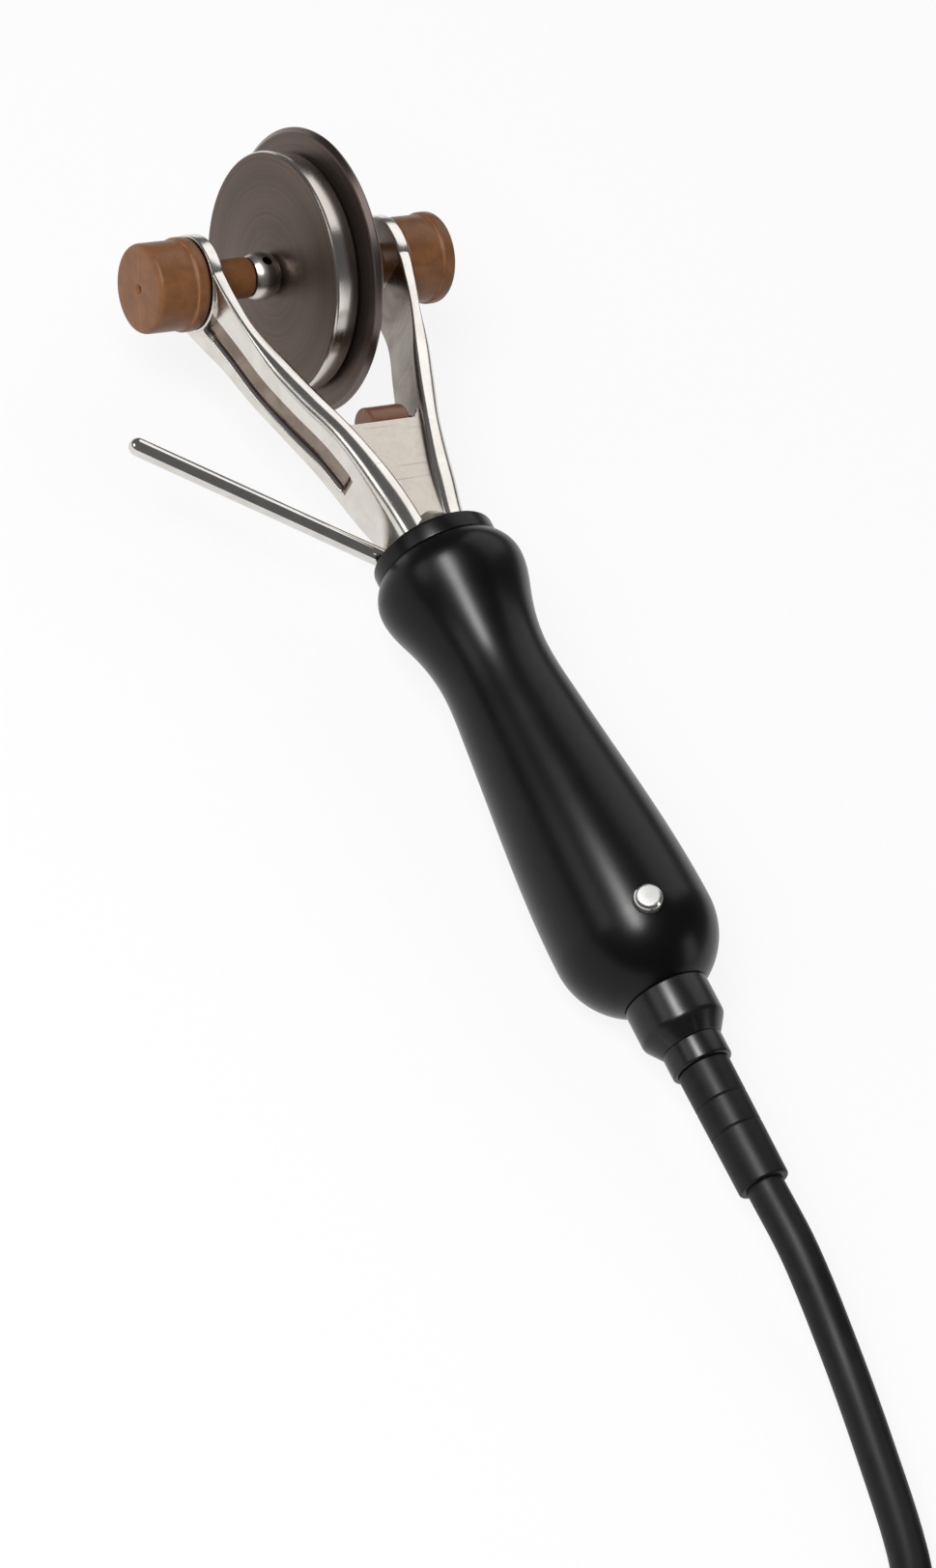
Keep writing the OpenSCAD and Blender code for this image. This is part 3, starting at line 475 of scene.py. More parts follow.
# outline points are (radius, height, corner radius, finish number), in mm, and the last two may be left out
def roundCorners(outline, steps=6):
    points = []
    for place, spot in enumerate(outline):
        radius, height, corner, band = (*spot, 0, 0)[:4]
        here = Vector((radius, height))
        if corner <= 0 or place in (0, len(outline) - 1):
            points.append((here, band))
            continue
        before = Vector(outline[place - 1][:2]) - here
        after = Vector(outline[place + 1][:2]) - here
        room = min(corner, before.length * 0.5, after.length * 0.5)
        start = here + before.normalized() * room
        end = here + after.normalized() * room
        for step in range(steps + 1):
            u = step / steps
            points.append((start * (1 - u) ** 2 + here * 2 * u * (1 - u) + end * u * u, band))
    return points


def ringVerts(work, radius, height, around):
    if radius < 1e-6:  # a single point on the axis
        return [work.verts.new((0, 0, height * mm))]
    angles = [2 * math.pi * k / around for k in range(around)]
    spots = [(radius * mm * math.cos(a), radius * mm * math.sin(a), height * mm) for a in angles]
    return [work.verts.new(spot) for spot in spots]


def turnPiece(name, place, outline, finishNames, around=144):
    points = roundCorners(outline)
    work = bmesh.new()
    rings = [ringVerts(work, spot.x, spot.y, around) for spot, _ in points]
    pairs = len(rings) if len(rings[0]) > 1 else len(rings) - 1  # a hollow piece's outline closes
    for i in range(pairs):
        low, high = rings[i], rings[(i + 1) % len(rings)]
        for k in range(around):
            corners = [low[k % len(low)], low[(k + 1) % len(low)],
                       high[(k + 1) % len(high)], high[k % len(high)]]
            corners = list(dict.fromkeys(corners))
            if len(corners) > 2:
                work.faces.new(corners).material_index = points[i][1]
    bmesh.ops.recalc_face_normals(work, faces=work.faces)
    return meshObject(name, meshFrom(name, work), place, finishNames)


def solidOp(piece, other, operation, solver="MANIFOLD"):
    step = piece.modifiers.new("solid", "BOOLEAN")
    step.operation = operation
    step.solver = solver
    step.object = other
    bpy.context.view_layer.update()
    shaped = piece.evaluated_get(bpy.context.evaluated_depsgraph_get())
    mesh = bpy.data.meshes.new_from_object(shaped)
    piece.modifiers.clear()
    piece.data = mesh
    bpy.data.objects.remove(other)
    smooth(mesh)


# cuts round holes: (place, radius below, radius above, length), in mm
def boreOut(piece, bores, solver="MANIFOLD"):
    for place, low, high, length in bores:
        work = bmesh.new()
        middle = piece.matrix_world.inverted() @ place @ shift(0, 0, length / 2)
        bmesh.ops.create_cone(work, cap_ends=True, segments=64, radius1=low * mm, radius2=high * mm,
                              depth=length * mm, matrix=middle)
        cutter = addObject("bore", meshFrom("bore", work))
        cutter.matrix_world = piece.matrix_world
        solidOp(piece, cutter, "DIFFERENCE", solver)


def tubeCurve(name, line, radius, roundness):
    data = bpy.data.curves.new(name, "CURVE")
    data.dimensions = "3D"
    data.bevel_depth = radius * mm
    data.bevel_resolution = roundness
    data.use_fill_caps = True
    spline = data.splines.new("POLY")
    spline.points.add(len(line) - 1)
    for point, spot in zip(spline.points, line):
        point.co = (*spot, 1.0)
    spline.use_smooth = True
    return data


# wheel: drum with its groove, blade disc, collars
wheel = {
    "half": 4.5, "drumWide": 6.2, "groove": 1.3, "drumR": 27.0, "backR": 26.3, "bossR": 23.5, "bore": 2.55,
    "edge": 0.5, "soft": 0.2, "softBack": 0.15,
    "bladeR": 31.5, "bladeThick": 1.45, "bladeEdge": 0.5, "bladeChamfer": 0.2, "bevel": 1.2, "bevelSoft": 0.3,
    "collarR": 5.35, "collarWide": 5.95, "collarOut": 3.0, "ballSteps": 12,
    "grubR": 1.15, "grubLow": 2.0, "grubLong": 6.0,
    "screws": 4, "screwTurn": 45, "screwRing": 15.0, "screwR": 1.3, "screwHeadR": 2.45, "screwSink": 1.2,
    "drumBore": 5.8, "bladeBore": 4.0, "bladeBoreOut": 1.0,
}


def screwPlaces():
    w = wheel
    angles = [w["screwTurn"] + 360 / w["screws"] * i for i in range(w["screws"])]
    return [axlePlace(-w["half"]) @ roll(a, "Z") @ shift(w["screwRing"], 0, 0) for a in angles]


def makeDrum():
    w = wheel
    tall = w["groove"] + w["drumWide"]
    drum = turnPiece("drumTurned", axlePlace(w["half"] - tall), [
        (w["bore"], 0, 0, 2), (w["bossR"], 0, 0, 2), (w["bossR"], w["groove"], 0, 2),
        (w["backR"] - w["edge"], w["groove"], w["softBack"], 1),
        (w["backR"], w["groove"] + w["edge"], w["soft"], 1), (w["drumR"], tall - w["edge"], w["soft"], 1),
        (w["drumR"] - w["edge"], tall, w["soft"], 0), (w["bore"], tall, 0, 2)],
        ["wheelFace", "wheelRim", "darkSteel"])
    boreOut(drum, [(p, w["screwR"], w["screwR"], w["drumBore"]) for p in screwPlaces()])
    stands(drum, "wheel", "drum_steel", "drum")


def makeBlade():
    w = wheel
    blade = turnPiece("bladeGround", axlePlace(-w["half"]), [
        (w["bore"], 0), (w["bladeR"] - w["bladeChamfer"], 0, 0, 1), (w["bladeR"], w["bladeChamfer"], 0, 1),
        (w["bladeR"], w["bladeEdge"], 0, 1), (w["bladeR"] - w["bevel"], w["bladeThick"], w["bevelSoft"], 0),
        (w["bore"], w["bladeThick"])], ["bladeSteel", "bladeEdge"], around=192)
    screws = screwPlaces()
    out = shift(0, 0, -w["bladeBoreOut"])
    holes = [(p @ out, w["screwR"], w["screwR"], w["bladeBore"]) for p in screws]
    sinks = [(p @ shift(0, 0, -fit), w["screwHeadR"] + fit, w["screwR"], w["screwSink"]) for p in screws]
    boreOut(blade, holes + sinks)
    stands(blade, "wheel", "blade_steel", "blade_disc")


def makeCollars():
    w = wheel
    half = w["collarWide"] / 2
    last = math.asin(half / w["collarR"])
    angles = [last * (k / w["ballSteps"] - 1) for k in range(2 * w["ballSteps"] + 1)]
    ball = [(w["collarR"] * math.cos(a), w["collarR"] * math.sin(a)) for a in angles]
    outline = [(w["bore"], -half)] + ball + [(w["bore"], half)]
    for side, name in ((1, "left"), (-1, "right")):
        middle = side * (w["half"] + w["collarOut"])
        collar = turnPiece(name + "CollarBall", axlePlace(middle), outline, ["collarSteel"], around=96)
        grub = toolPlace @ shift(0, middle, w["grubLow"])
        boreOut(collar, [(grub, w["grubR"], w["grubR"], w["grubLong"])])
        stands(collar, "wheel", "collar_steel", name + "_collar")


makeDrum()
makeBlade()
makeCollars()
print("wheel made")

# bushes and caps
bearing = {
    "start": 10.8, "bore": 2.55, "sleeveR": 4.5, "sleeveEdge": 0.5, "sleeveSoft": 0.1,
    "spigotR": 3.5, "spigot": 5.0, "eyeIn": 22.5, "eyeOut": 25.5,
    "capR": 9.8, "capLong": 12.5, "capEdge": 1.4, "capWall": 3.0,
    "beadR": 10.3, "beadWide": 3.0, "beadEdge": 0.45, "stepEdge": 0.4,
    "oilR": 0.65, "oilSink": 0.55, "oilEdge": 0.2, "oilSoft": 0.1,
}


def capSkin(side):
    b = bearing
    low, high = b["eyeOut"], b["eyeOut"] + b["capLong"]
    step = b["beadR"] - b["capR"]
    if side > 0:  # bead by the eye
        return [(b["beadR"], low, b["capEdge"]), (b["beadR"], low + b["beadWide"], b["beadEdge"]),
                (b["capR"], low + b["beadWide"] + step, b["stepEdge"]), (b["capR"], high, b["capEdge"])]
    # bead at the free end
    return [(b["capR"], low, b["capEdge"]), (b["capR"], high - b["beadWide"] - step, b["stepEdge"]),
            (b["beadR"], high - b["beadWide"], b["beadEdge"]), (b["beadR"], high, b["capEdge"])]


def makeBearings():
    b = bearing
    end = b["eyeOut"] + b["spigot"]
    high = b["eyeOut"] + b["capLong"]
    deep = high - b["capWall"]
    for side, name in ((1, "left"), (-1, "right")):
        bush = turnPiece(name + "BushSleeve", sidePlace(side), [
            (b["bore"], b["start"]), (b["sleeveR"], b["start"], b["sleeveEdge"]),
            (b["sleeveR"], b["eyeIn"], b["sleeveSoft"]), (b["spigotR"], b["eyeIn"]), (b["spigotR"], end),
            (b["bore"], end)], ["brownMoulding"])
        stands(bush, "frame", "brown_moulding", name + "_bush")
        cap = turnPiece(name + "CapMoulded", sidePlace(side), [
            (b["spigotR"] + fit, b["eyeOut"]), *capSkin(side),
            (b["oilR"] + b["oilSink"], high, b["oilEdge"]), (b["oilR"], high - b["oilSink"], b["oilSoft"]),
            (b["oilR"], deep), (b["bore"], deep), (b["bore"], end + fit),
            (b["spigotR"] + fit, end + fit)], ["brownMoulding"])
        stands(cap, "frame", "brown_moulding", name + "_cap")


makeBearings()
print("bearings made")

# handle: turned outline behind the lip
handle = {
    "lipR": 13.8, "lipLong": 4.0, "lipEdge": 0.8, "lipSoft": 0.3, "lipSlope": 0.85,
    "groove": 0.5, "grooveSoft": 0.1, "mouthR": 12.3, "mouthDeep": 5.0,
    "bulbR": 16.5, "waistR": 12.25, "gripR": 17.4, "gripBack": 99.0, "rear": 113.83, "glandR": 9.1,
    "tangR": 5.05, "hollowBack": 46.0, "hollowR": 8.0, "buttonTurn": 18.5, "buttonBack": 100.0,
    "swellSteps": 26, "endSteps": 40,
    # share of the way back, thick end of the swell, share from the waist to it, slope
    "swells": [(0.102, "bulbR", 1.0, 0.0), (0.182, "bulbR", 0.59, -0.33), (0.33, "bulbR", 0.0, 0.0),
               (0.47, "gripR", 0.2, 0.095), (1.0, "gripR", 1.0, 0.0)],
    # height along the button, radius below, radius above, length
    "buttonBores": [(5.0, 3.95, 3.95, 8.3), (10.0, 3.05, 3.05, 15.0), (17.2, 3.0, 3.6, 0.7)],
}


def switchPlace(rise):  # local z out of the handle along the button
    return toolPlace @ roll(-handle["buttonTurn"], "X") @ shift(-(reach + handle["buttonBack"]), 0, rise)


def swell(knots, steps):  # knots are (height, radius, slope)
    points = []
    for (a, ra, sa), (b, rb, sb) in zip(knots, knots[1:]):
        span = b - a
        for k in range(steps):
            u = k / steps
            points.append((blend(ra, sa * span, rb, sb * span, u), a + span * u))
    return points


def makeHandle():
    h = handle
    back, thin = h["gripBack"], h["waistR"]
    knots = [(h["lipLong"] + h["groove"], h["lipR"] + h["groove"], h["lipSlope"])]
    for share, thick, part, slope in h["swells"]:
        knots.append((share * back, thin + (h[thick] - thin) * part, slope))
    last = math.acos(h["glandR"] / h["gripR"])
    angles = [last * k / h["endSteps"] for k in range(h["endSteps"] + 1)]
    end = [(h["gripR"] * math.cos(a), back + h["gripR"] * math.sin(a)) for a in angles]
    outline = [(h["mouthR"], h["mouthDeep"]), (h["mouthR"], 0, h["lipSoft"]), (h["lipR"], 0, h["lipEdge"]),
               (h["lipR"], h["lipLong"], h["lipSoft"]),
               (h["lipR"] - h["groove"], h["lipLong"] + h["groove"] / 2, h["grooveSoft"])]
    outline += swell(knots, h["swellSteps"]) + end
    outline += [(h["hollowR"], h["rear"]), (h["hollowR"], h["hollowBack"]), (h["tangR"], h["hollowBack"]),
                (h["tangR"], h["mouthDeep"])]
    piece = turnPiece("handleTurned", behindPlace(0), outline, ["handleLacquer"], around=192)
    boreOut(piece, [(switchPlace(rise), *sizes) for rise, *sizes in h["buttonBores"]], "EXACT")
    stands(piece, "frame", "black_lacquer", "handle")


makeHandle()
print("handle made")

# button: nickel cap with a bright chamfer, on its flange and stem
button = {"r": 3.0, "top": 19.57, "edge": 0.7, "edgeSoft": 0.25, "soft": 0.2,
          "flangeR": 3.7, "flangeLow": 12.1, "flangeTop": 13.45,
          "pocketR": 2.3, "pocketTop": 15.6, "stemR": 1.2, "stemLow": 8.5}


def makeButton():
    b = button
    piece = turnPiece("buttonTurned", switchPlace(0), [
        (0, b["stemLow"]), (b["stemR"], b["stemLow"], b["soft"]), (b["stemR"], b["pocketTop"]),
        (b["pocketR"], b["pocketTop"]), (b["pocketR"], b["flangeLow"]),
        (b["flangeR"], b["flangeLow"], b["soft"]), (b["flangeR"], b["flangeTop"], b["soft"]),
        (b["r"], b["flangeTop"]), (b["r"], b["top"] - b["edge"], b["edgeSoft"], 1),
        (b["r"] - b["edge"], b["top"], b["edgeSoft"], 0), (0, b["top"])],
        ["buttonNickel", "rodChrome"], around=96)
    stands(piece, "button", "button_nickel", "button")


# switch spring: a coil of wire under the button, drawn at one length
spring = {"low": 10.65, "high": 15.25, "r": 1.75, "wire": 0.3, "wireRoundness": 3, "turns": 5,
          "stepsPerTurn": 24, "seat": 10.3, "pressed": 0.7}


def makeSpring():
    c = spring
    count = c["turns"] * c["stepsPerTurn"]
    line = []
    for k in range(count + 1):
        a = turn(360 * c["turns"] * k / count)
        height = c["low"] + (c["high"] - c["low"]) * k / count
        line.append((c["r"] * mm * math.cos(a), -c["r"] * mm * math.sin(a), height * mm))
    coil = addObject("springLine", tubeCurve("springLine", line, c["wire"], c["wireRoundness"]))
    bpy.context.view_layer.update()
    mesh = bpy.data.meshes.new_from_object(coil.evaluated_get(bpy.context.evaluated_depsgraph_get()))
    bpy.data.objects.remove(coil)
    piece = meshObject("switchSpringCoil", mesh, switchPlace(0), ["plainSteel"])
    stands(piece, "frame", "spring_steel", "switch_spring")
    out = switchPlace(0).to_3x3() @ Vector((0, 0, 1))
    tuple(switchPlace(c["seat"]).translation)
    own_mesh(piece)


makeButton()
makeSpring()
print("button and spring made")

# gland nut, ring and boot behind the handle
gland = {
    "rear": 113.83, "spigot": 5.0, "spigotR": 7.95, "cordR": 4.05,
    "r": 9.1, "long": 8.4, "edge": 0.7, "cone": 3.8, "coneSoft": 0.3,
    "ringR": 6.5, "ringLong": 5.3, "ringSoft": 0.25, "ringEdge": 0.9,
    "bootR": 5.6, "bootLong": 27.7, "bootTaper": 0.2, "bootSoft": 0.3, "bootEdge": 1.2,
    "bootSpigotR": 5.0, "bootSpigot": 4.8, "grooves": (0.3, 0.55), "grooveDeep": 0.25, "grooveSoft": 0.1,
}


def makeGland():
    g = gland
    top = g["spigot"] + g["long"]
    nut = turnPiece("glandNutMoulded", behindPlace(g["rear"] - g["spigot"]), [
        (g["cordR"], 0), (g["spigotR"], 0), (g["spigotR"], g["spigot"]), (g["r"], g["spigot"], g["edge"]),
        (g["r"], top, g["edge"]), (g["ringR"], top + g["cone"], g["coneSoft"]),
        (g["cordR"], top + g["cone"])], ["glandMoulding"])
    stands(nut, "frame", "gland_moulding", "gland_nut")
    ringBack = g["rear"] + g["long"] + g["cone"]
    ringBore = g["bootSpigotR"] + fit
    ring = turnPiece("glandRingMoulded", behindPlace(ringBack), [
        (ringBore, 0), (g["ringR"], 0, g["ringSoft"]), (g["ringR"], g["ringLong"], g["ringEdge"]),
        (ringBore, g["ringLong"])], ["glandMoulding"])
    stands(ring, "frame", "gland_moulding", "gland_ring")
    makeBoot(ringBack + g["ringLong"] - g["bootSpigot"])


def makeBoot(back):
    g = gland
    start = g["bootSpigot"]
    end = start + g["bootLong"]
    outline = [(g["cordR"], 0), (g["bootSpigotR"], 0), (g["bootSpigotR"], start),
               (g["bootR"], start, g["bootSoft"])]
    for share in g["grooves"]:
        z = start + share * g["bootLong"]
        r = g["bootR"] - share * g["bootTaper"]
        deep, soft = g["grooveDeep"], g["grooveSoft"]
        outline += [(r, z - deep, soft), (r - deep, z, soft), (r, z + deep, soft)]
    outline += [(g["bootR"] - g["bootTaper"], end, g["bootEdge"]), (g["cordR"], end)]
    boot = turnPiece("bootMoulded", behindPlace(back), outline, ["bootRubber"])
    stands(boot, "frame", "boot_rubber", "boot")


makeGland()
print("gland and boot made")

# guide rod, with a slightly thicker root in the neck
rod = {"root": (-76.5, 7.0, -4.3), "turn": 50.0, "r": 2.0, "long": 62.5, "tipStep": 6,
       "sunk": 5.55, "rootR": 2.125, "rootLong": 20.0, "rootSoft": 0.2}


def rodPlace():  # local z along the rod
    root = Matrix.Translation(Vector(rod["root"]) * mm)
    return toolPlace @ root @ roll(rod["turn"], "Z") @ roll(90, "Y")


def makeRod():
    r, start = rod["r"], rod["long"] - rod["r"]
    tip = [(r * math.cos(turn(a)), start + r * math.sin(turn(a))) for a in range(0, 90, rod["tipStep"])]
    root = [(0, -rod["sunk"]), (rod["rootR"], -rod["sunk"], rod["rootSoft"]), (r, rod["rootLong"])]
    outline = root + tip + [(0, rod["long"])]
    piece = turnPiece("guideRodPolished", rodPlace(), outline, ["rodChrome"], around=96)
    stands(piece, "frame", "rod_chrome", "guide_rod")


# heating element across the crotch
heater = {"back": 43.3, "y": -3.5, "lift": 0.2, "r": 4.15, "long": 9.5, "edge": 0.6,
          "boreR": 1.3, "boreDeep": 8.08}


def makeHeater():
    h = heater
    place = toolPlace @ shift(-h["back"], h["y"] - h["long"] / 2, h["lift"]) @ roll(-90, "X")
    body = turnPiece("heaterGlazed", place, [
        (0, h["boreDeep"]), (h["boreR"], h["boreDeep"]), (h["boreR"], 0), (h["r"], 0, h["edge"]),
        (h["r"], h["long"], h["edge"]), (0, h["long"])], ["heaterGlaze"], around=96)
    stands(body, "frame", "heater_glaze", "heater_body")


makeRod()
makeHeater()
print("rod and heater made")

# cast fork: two lofted arms, eyes, web, crotch and neck, made one solid
fork = {
    "eyeIn": 22.5, "eyeOut": 25.5, "eyeR": 10.6, "eyeSoft": 0.45, "inset": 0.12, "bite": 1.0,
    "armStart": 3.9, "armEnd": 76.45, "stations": 150, "cornerSteps": 12, "wallSteps": 8,
    "neckR": 9.0, "neckFull": 75.0, "neckStart": 69.0, "neckStartR": 4.6, "neckEnd": 81.45, "neckSoft": 0.2,
    "tangR": 5.0, "tangEnd": 130.1, "tangSoft": 0.3,
    "webBack": 46.0, "webTop": 5.6, "webThick": 1.1, "webCorner": 2.0, "webStep": 15, "crotchBack": 47.5,
    "channelLow": -4.2, "channelHigh": 1.8, "channelDeep": 1.5, "channelStart": 8.0, "channelStop": 57.5,
    "channelRamp": 2.6, "channelFlare": 1.3,
    "axleBoreR": 3.55, "axleBoreOut": 27.0, "leadBoreR": 2.8, "leadBoreLong": 90.0,
    "studR": 1.3, "studOut": 3.0, "studLong": 6.0,
    "rodBoreDeep": 5.6, "rodBore": (2.175, 2.05, 25.6),  # radius below, radius above, length
    "finishes": ["castPolish", "castRecess", "castSatin", "castTint"],
    "corners": (0.62, 0.3, 0.34),  # shares of the arm's thickness: outer top, inner top, below
    # share of reach, of the way neck to eye outside, of the eye inside, of the eye's radius, roundness
    "arm": [(0.053, 1.00, 1.00, 0.89, 0.30), (0.136, 0.95, 0.97, 0.80, 0.35), (0.245, 0.84, 0.89, 0.68, 0.50),
            (0.381, 0.71, 0.70, 0.66, 0.75), (0.503, 0.52, 0.54, 0.67, 0.85), (0.639, 0.28, 0.38, 0.71, 0.90),
            (0.816, 0.10, 0.20, 0.69, 0.90), (1.000, -0.04, 0.10, 0.58, 0.90)],
}


def armRows():  # distance back, outer side, inner side, half height, roundness
    f = fork
    outward = f["eyeOut"] - f["inset"] - f["neckR"]
    inward = f["eyeIn"] + f["inset"]
    return [(share * reach, f["neckR"] + out * outward, inn * inward, deep * f["eyeR"], soft)
            for share, out, inn, deep, soft in f["arm"]]


def smoothColumn(rows, column, at):  # same curve as the solid's
    i = 0
    while i < len(rows) - 2 and at >= rows[i + 1][0]:
        i += 1

    def slope(k):
        if k in (0, len(rows) - 1):
            return 0.0
        return (rows[k + 1][column] - rows[k - 1][column]) / (rows[k + 1][0] - rows[k - 1][0])

    span = rows[i + 1][0] - rows[i][0]
    u = (at - rows[i][0]) / span
    return blend(rows[i][column], slope(i) * span, rows[i + 1][column], slope(i + 1) * span, u)


def armRing(rows, at, side):
    f = fork
    out, inn, deep, soft = (smoothColumn(rows, c, at) for c in (1, 2, 3, 4))
    top, inner, low = (soft * share * (out - inn) for share in f["corners"])
    inRamp = min(1, max(0, (at - f["channelStart"]) / f["channelRamp"]))
    outRamp = min(1, max(0, (f["channelStop"] - at) / f["channelRamp"]))
    sink = f["channelDeep"] * softStep(inRamp * outRamp)
    loop = []
    for cy, cz, r, start in ((out - top, deep - top, top, 0), (inn + inner, deep - inner, inner, 90),
                             (inn + low, low - deep, low, 180), (out - low, low - deep, low, 270)):
        angles = [turn(start + 90 * k / f["cornerSteps"]) for k in range(f["cornerSteps"] + 1)]
        loop += [(cy + r * math.cos(a), cz + r * math.sin(a)) for a in angles]
    shares = [k / f["wallSteps"] for k in range(f["wallSteps"] + 1)]
    wall = [(u, 0.5 - 0.5 * math.cos(math.pi * u)) for u in shares]  # soft shoulders
    loop += [(out - sink * v, f["channelLow"] + f["channelFlare"] * u) for u, v in wall]
    loop += [(out - sink * v, f["channelHigh"] - f["channelFlare"] * u) for u, v in reversed(wall)]
    return [Vector((-at * mm, side * y * mm, z * mm)) for y, z in loop]


def loftMesh(work, rings):
    f = fork
    polish, dark, innerReflection = (f["finishes"].index(label) for label in ("castPolish", "castRecess", "castTint"))
    corner, wall = f["cornerSteps"] + 1, f["wallSteps"] + 1  # points in each
    # inner faces of the arms get a darker finish, a painted reflection of the dark drum
    inner = range(2 * corner - 2, 2 * corner + 1)
    # the channel floor gets a darker finish, a painted reflection of dark surroundings
    recess = range(4 * corner + wall // 2, 4 * corner + 2 * wall - wall // 2)
    rows = [[work.verts.new(p) for p in ring] for ring in rings]
    count = len(rows[0])
    for low, high in zip(rows, rows[1:]):
        for k in range(count):
            face = work.faces.new((low[k], low[(k + 1) % count], high[(k + 1) % count], high[k]))
            sunk = f["channelStart"] <= -low[k].co.x / mm < f["channelStop"]
            face.material_index = dark if k in recess and sunk else innerReflection if k in inner else polish
    work.faces.new(rows[0][::-1])
    work.faces.new(rows[-1])


def prismMesh(work, plan, low, high, band):  # plan in x, y and the finish of its top
    bottom = [work.verts.new((x * mm, y * mm, low * mm)) for x, y in plan]
    top = [work.verts.new((x * mm, y * mm, high * mm)) for x, y in plan]
    count = len(plan)
    for k in range(count):
        work.faces.new((bottom[k], bottom[(k + 1) % count], top[(k + 1) % count], top[k]))
    work.faces.new(bottom[::-1])
    work.faces.new(top).material_index = band


def solidFrom(name, build, *sizes):
    work = bmesh.new()
    build(work, *sizes)
    bmesh.ops.recalc_face_normals(work, faces=work.faces)
    return meshObject(name, meshFrom(name, work), toolPlace.copy(), fork["finishes"])


def webPlan(wide, deep):  # round inner corners at the front
    f = fork
    corner, front = f["webCorner"], -f["webBack"]
    half = [(front + corner, wide + f["bite"])]
    for a in range(0, 91, f["webStep"]):
        aside, ahead = corner * math.cos(turn(a)), corner * math.sin(turn(a))
        half.append((front + corner - ahead, wide - corner + aside))
    other = [(x, -y) for x, y in reversed(half)]
    return half + other + [(-f["neckFull"], -deep), (-f["neckFull"], deep)]


def forkParts(rows):
    f = fork
    span = f["armEnd"] - f["armStart"]
    stations = [f["armStart"] + span * k / f["stations"] for k in range(f["stations"] + 1)]
    for side in (1, -1):
        yield solidFrom("arm", loftMesh, [armRing(rows, at, side) for at in stations])
        yield turnPiece("eye", sidePlace(side), [
            (0, f["eyeIn"]), (f["eyeR"], f["eyeIn"], f["eyeSoft"]), (f["eyeR"], f["eyeOut"], f["eyeSoft"]),
            (0, f["eyeOut"])], f["finishes"])
    wide, across, deep = (smoothColumn(rows, 2, f[key]) for key in ("webBack", "crotchBack", "neckFull"))
    across, deep = across + f["bite"], deep + f["bite"]
    under = f["webTop"] - f["webThick"]
    satin = f["finishes"].index("castSatin")
    yield solidFrom("web", prismMesh, webPlan(wide, deep), under, f["webTop"], satin)
    block = [(-f["crotchBack"], across), (-f["crotchBack"], -across),
             (-f["neckFull"], -deep), (-f["neckFull"], deep)]
    yield solidFrom("crotch", prismMesh, block, -under, f["webTop"] - f["webThick"] / 2, 0)


def makeFork():
    f = fork
    rows = armRows()
    full, end, tail = (f[key] - f["neckStart"] for key in ("neckFull", "neckEnd", "tangEnd"))
    piece = turnPiece("forkCast", behindPlace(f["neckStart"] - reach), [
        (0, 0), (f["neckStartR"], 0), (f["neckR"], full), (f["neckR"], end, f["neckSoft"]),
        (f["tangR"], end), (f["tangR"], tail, f["tangSoft"]), (0, tail)], f["finishes"])
    for part in forkParts(rows):
        solidOp(piece, part, "UNION", "EXACT")
    studY = -(smoothColumn(rows, 2, heater["back"]) + f["studOut"])
    stud = toolPlace @ shift(-heater["back"], studY, heater["lift"]) @ roll(-90, "X")
    boreOut(piece, [
        (axlePlace(-f["axleBoreOut"]), f["axleBoreR"], f["axleBoreR"], 2 * f["axleBoreOut"]),
        (behindPlace(f["webBack"] - reach), f["leadBoreR"], f["leadBoreR"], f["leadBoreLong"]),
        (rodPlace() @ shift(0, 0, -f["rodBoreDeep"]), *f["rodBore"]),
        (stud, f["studR"], f["studR"], f["studLong"])], "EXACT")
    stands(piece, "frame", "cast_alloy", "fork")


makeFork()
print("fork made")

# cord: from the boot along the floor into a coil and on to the plug
cord = {
    "exit": (-132.966, -8.673, 12.577), "leadIn": 16.0, "r": 4.0, "roundness": 6, "length": 1.773,
    "route": [(-169, -8.8, 6.2), (-190, -5.2, 4.7), (-212, 0.6, 4.6), (-226, 7, 4.7), (-239, 12.7, 4.9)],
    "coilAt": (-260, -44, 5), "coilR": 58.0, "coilPitch": 8.5, "coilTurns": 6.0, "coilLow": 3.5,
    "coilClimb": 0.25, "coilLead": 8.0, "stepsPerTurn": 36, "bendSteps": 6,
    "tail": [(-280, 4.6, 14.2), (-292, -0.5, 17), (-301, -11, 21.4), (-303.2, -22.5, 26.2),
             (-302, -33.5, 29.1)],
    "plugAt": (-301, -44, 29.8),
}


def bendThrough(points):  # smooth line through the points
    steps = cord["bendSteps"]
    line = []
    for i in range(len(points) - 1):
        a, b = points[i], points[i + 1]
        ta = (b - points[max(i - 1, 0)]).normalized() * (b - a).length
        tb = (points[min(i + 2, len(points) - 1)] - a).normalized() * (b - a).length
        line += [blend(a, ta, b, tb, k / steps) for k in range(steps)]
    return line + [points[-1]]


def coilLine():  # a flat spiral in, a climb, and a spiral out on top of it
    c = cord
    low, climb = c["coilLow"], c["coilClimb"]
    count = int(c["coilTurns"] * c["stepsPerTurn"])
    spiral = []
    for i in range(count + 1):
        t = c["coilTurns"] * i / count
        radius = c["coilR"] - c["coilPitch"] * (low - abs(t - low))
        rise = c["coilPitch"] * softStep((t - low + climb) / (2 * climb))
        a = turn(90 + 360 * t)
        spiral.append(Vector(c["coilAt"]) + Vector((radius * math.cos(a), radius * math.sin(a), rise)))
    return spiral


def cordLine():
    c = cord
    along = toolPlace.to_3x3() @ Vector((-1, 0, 0))
    out = Vector(c["exit"])
    side = Vector((c["coilLead"], 0, 0))
    spiral = coilLine()
    lead = [out, out + along * c["leadIn"]] + [Vector(p) for p in c["route"]] + [spiral[0] + side]
    rest = [spiral[-1] - side] + [Vector(p) for p in c["tail"]] + [Vector(c["plugAt"])]
    return [p * mm for p in bendThrough(lead) + spiral + bendThrough(rest)]


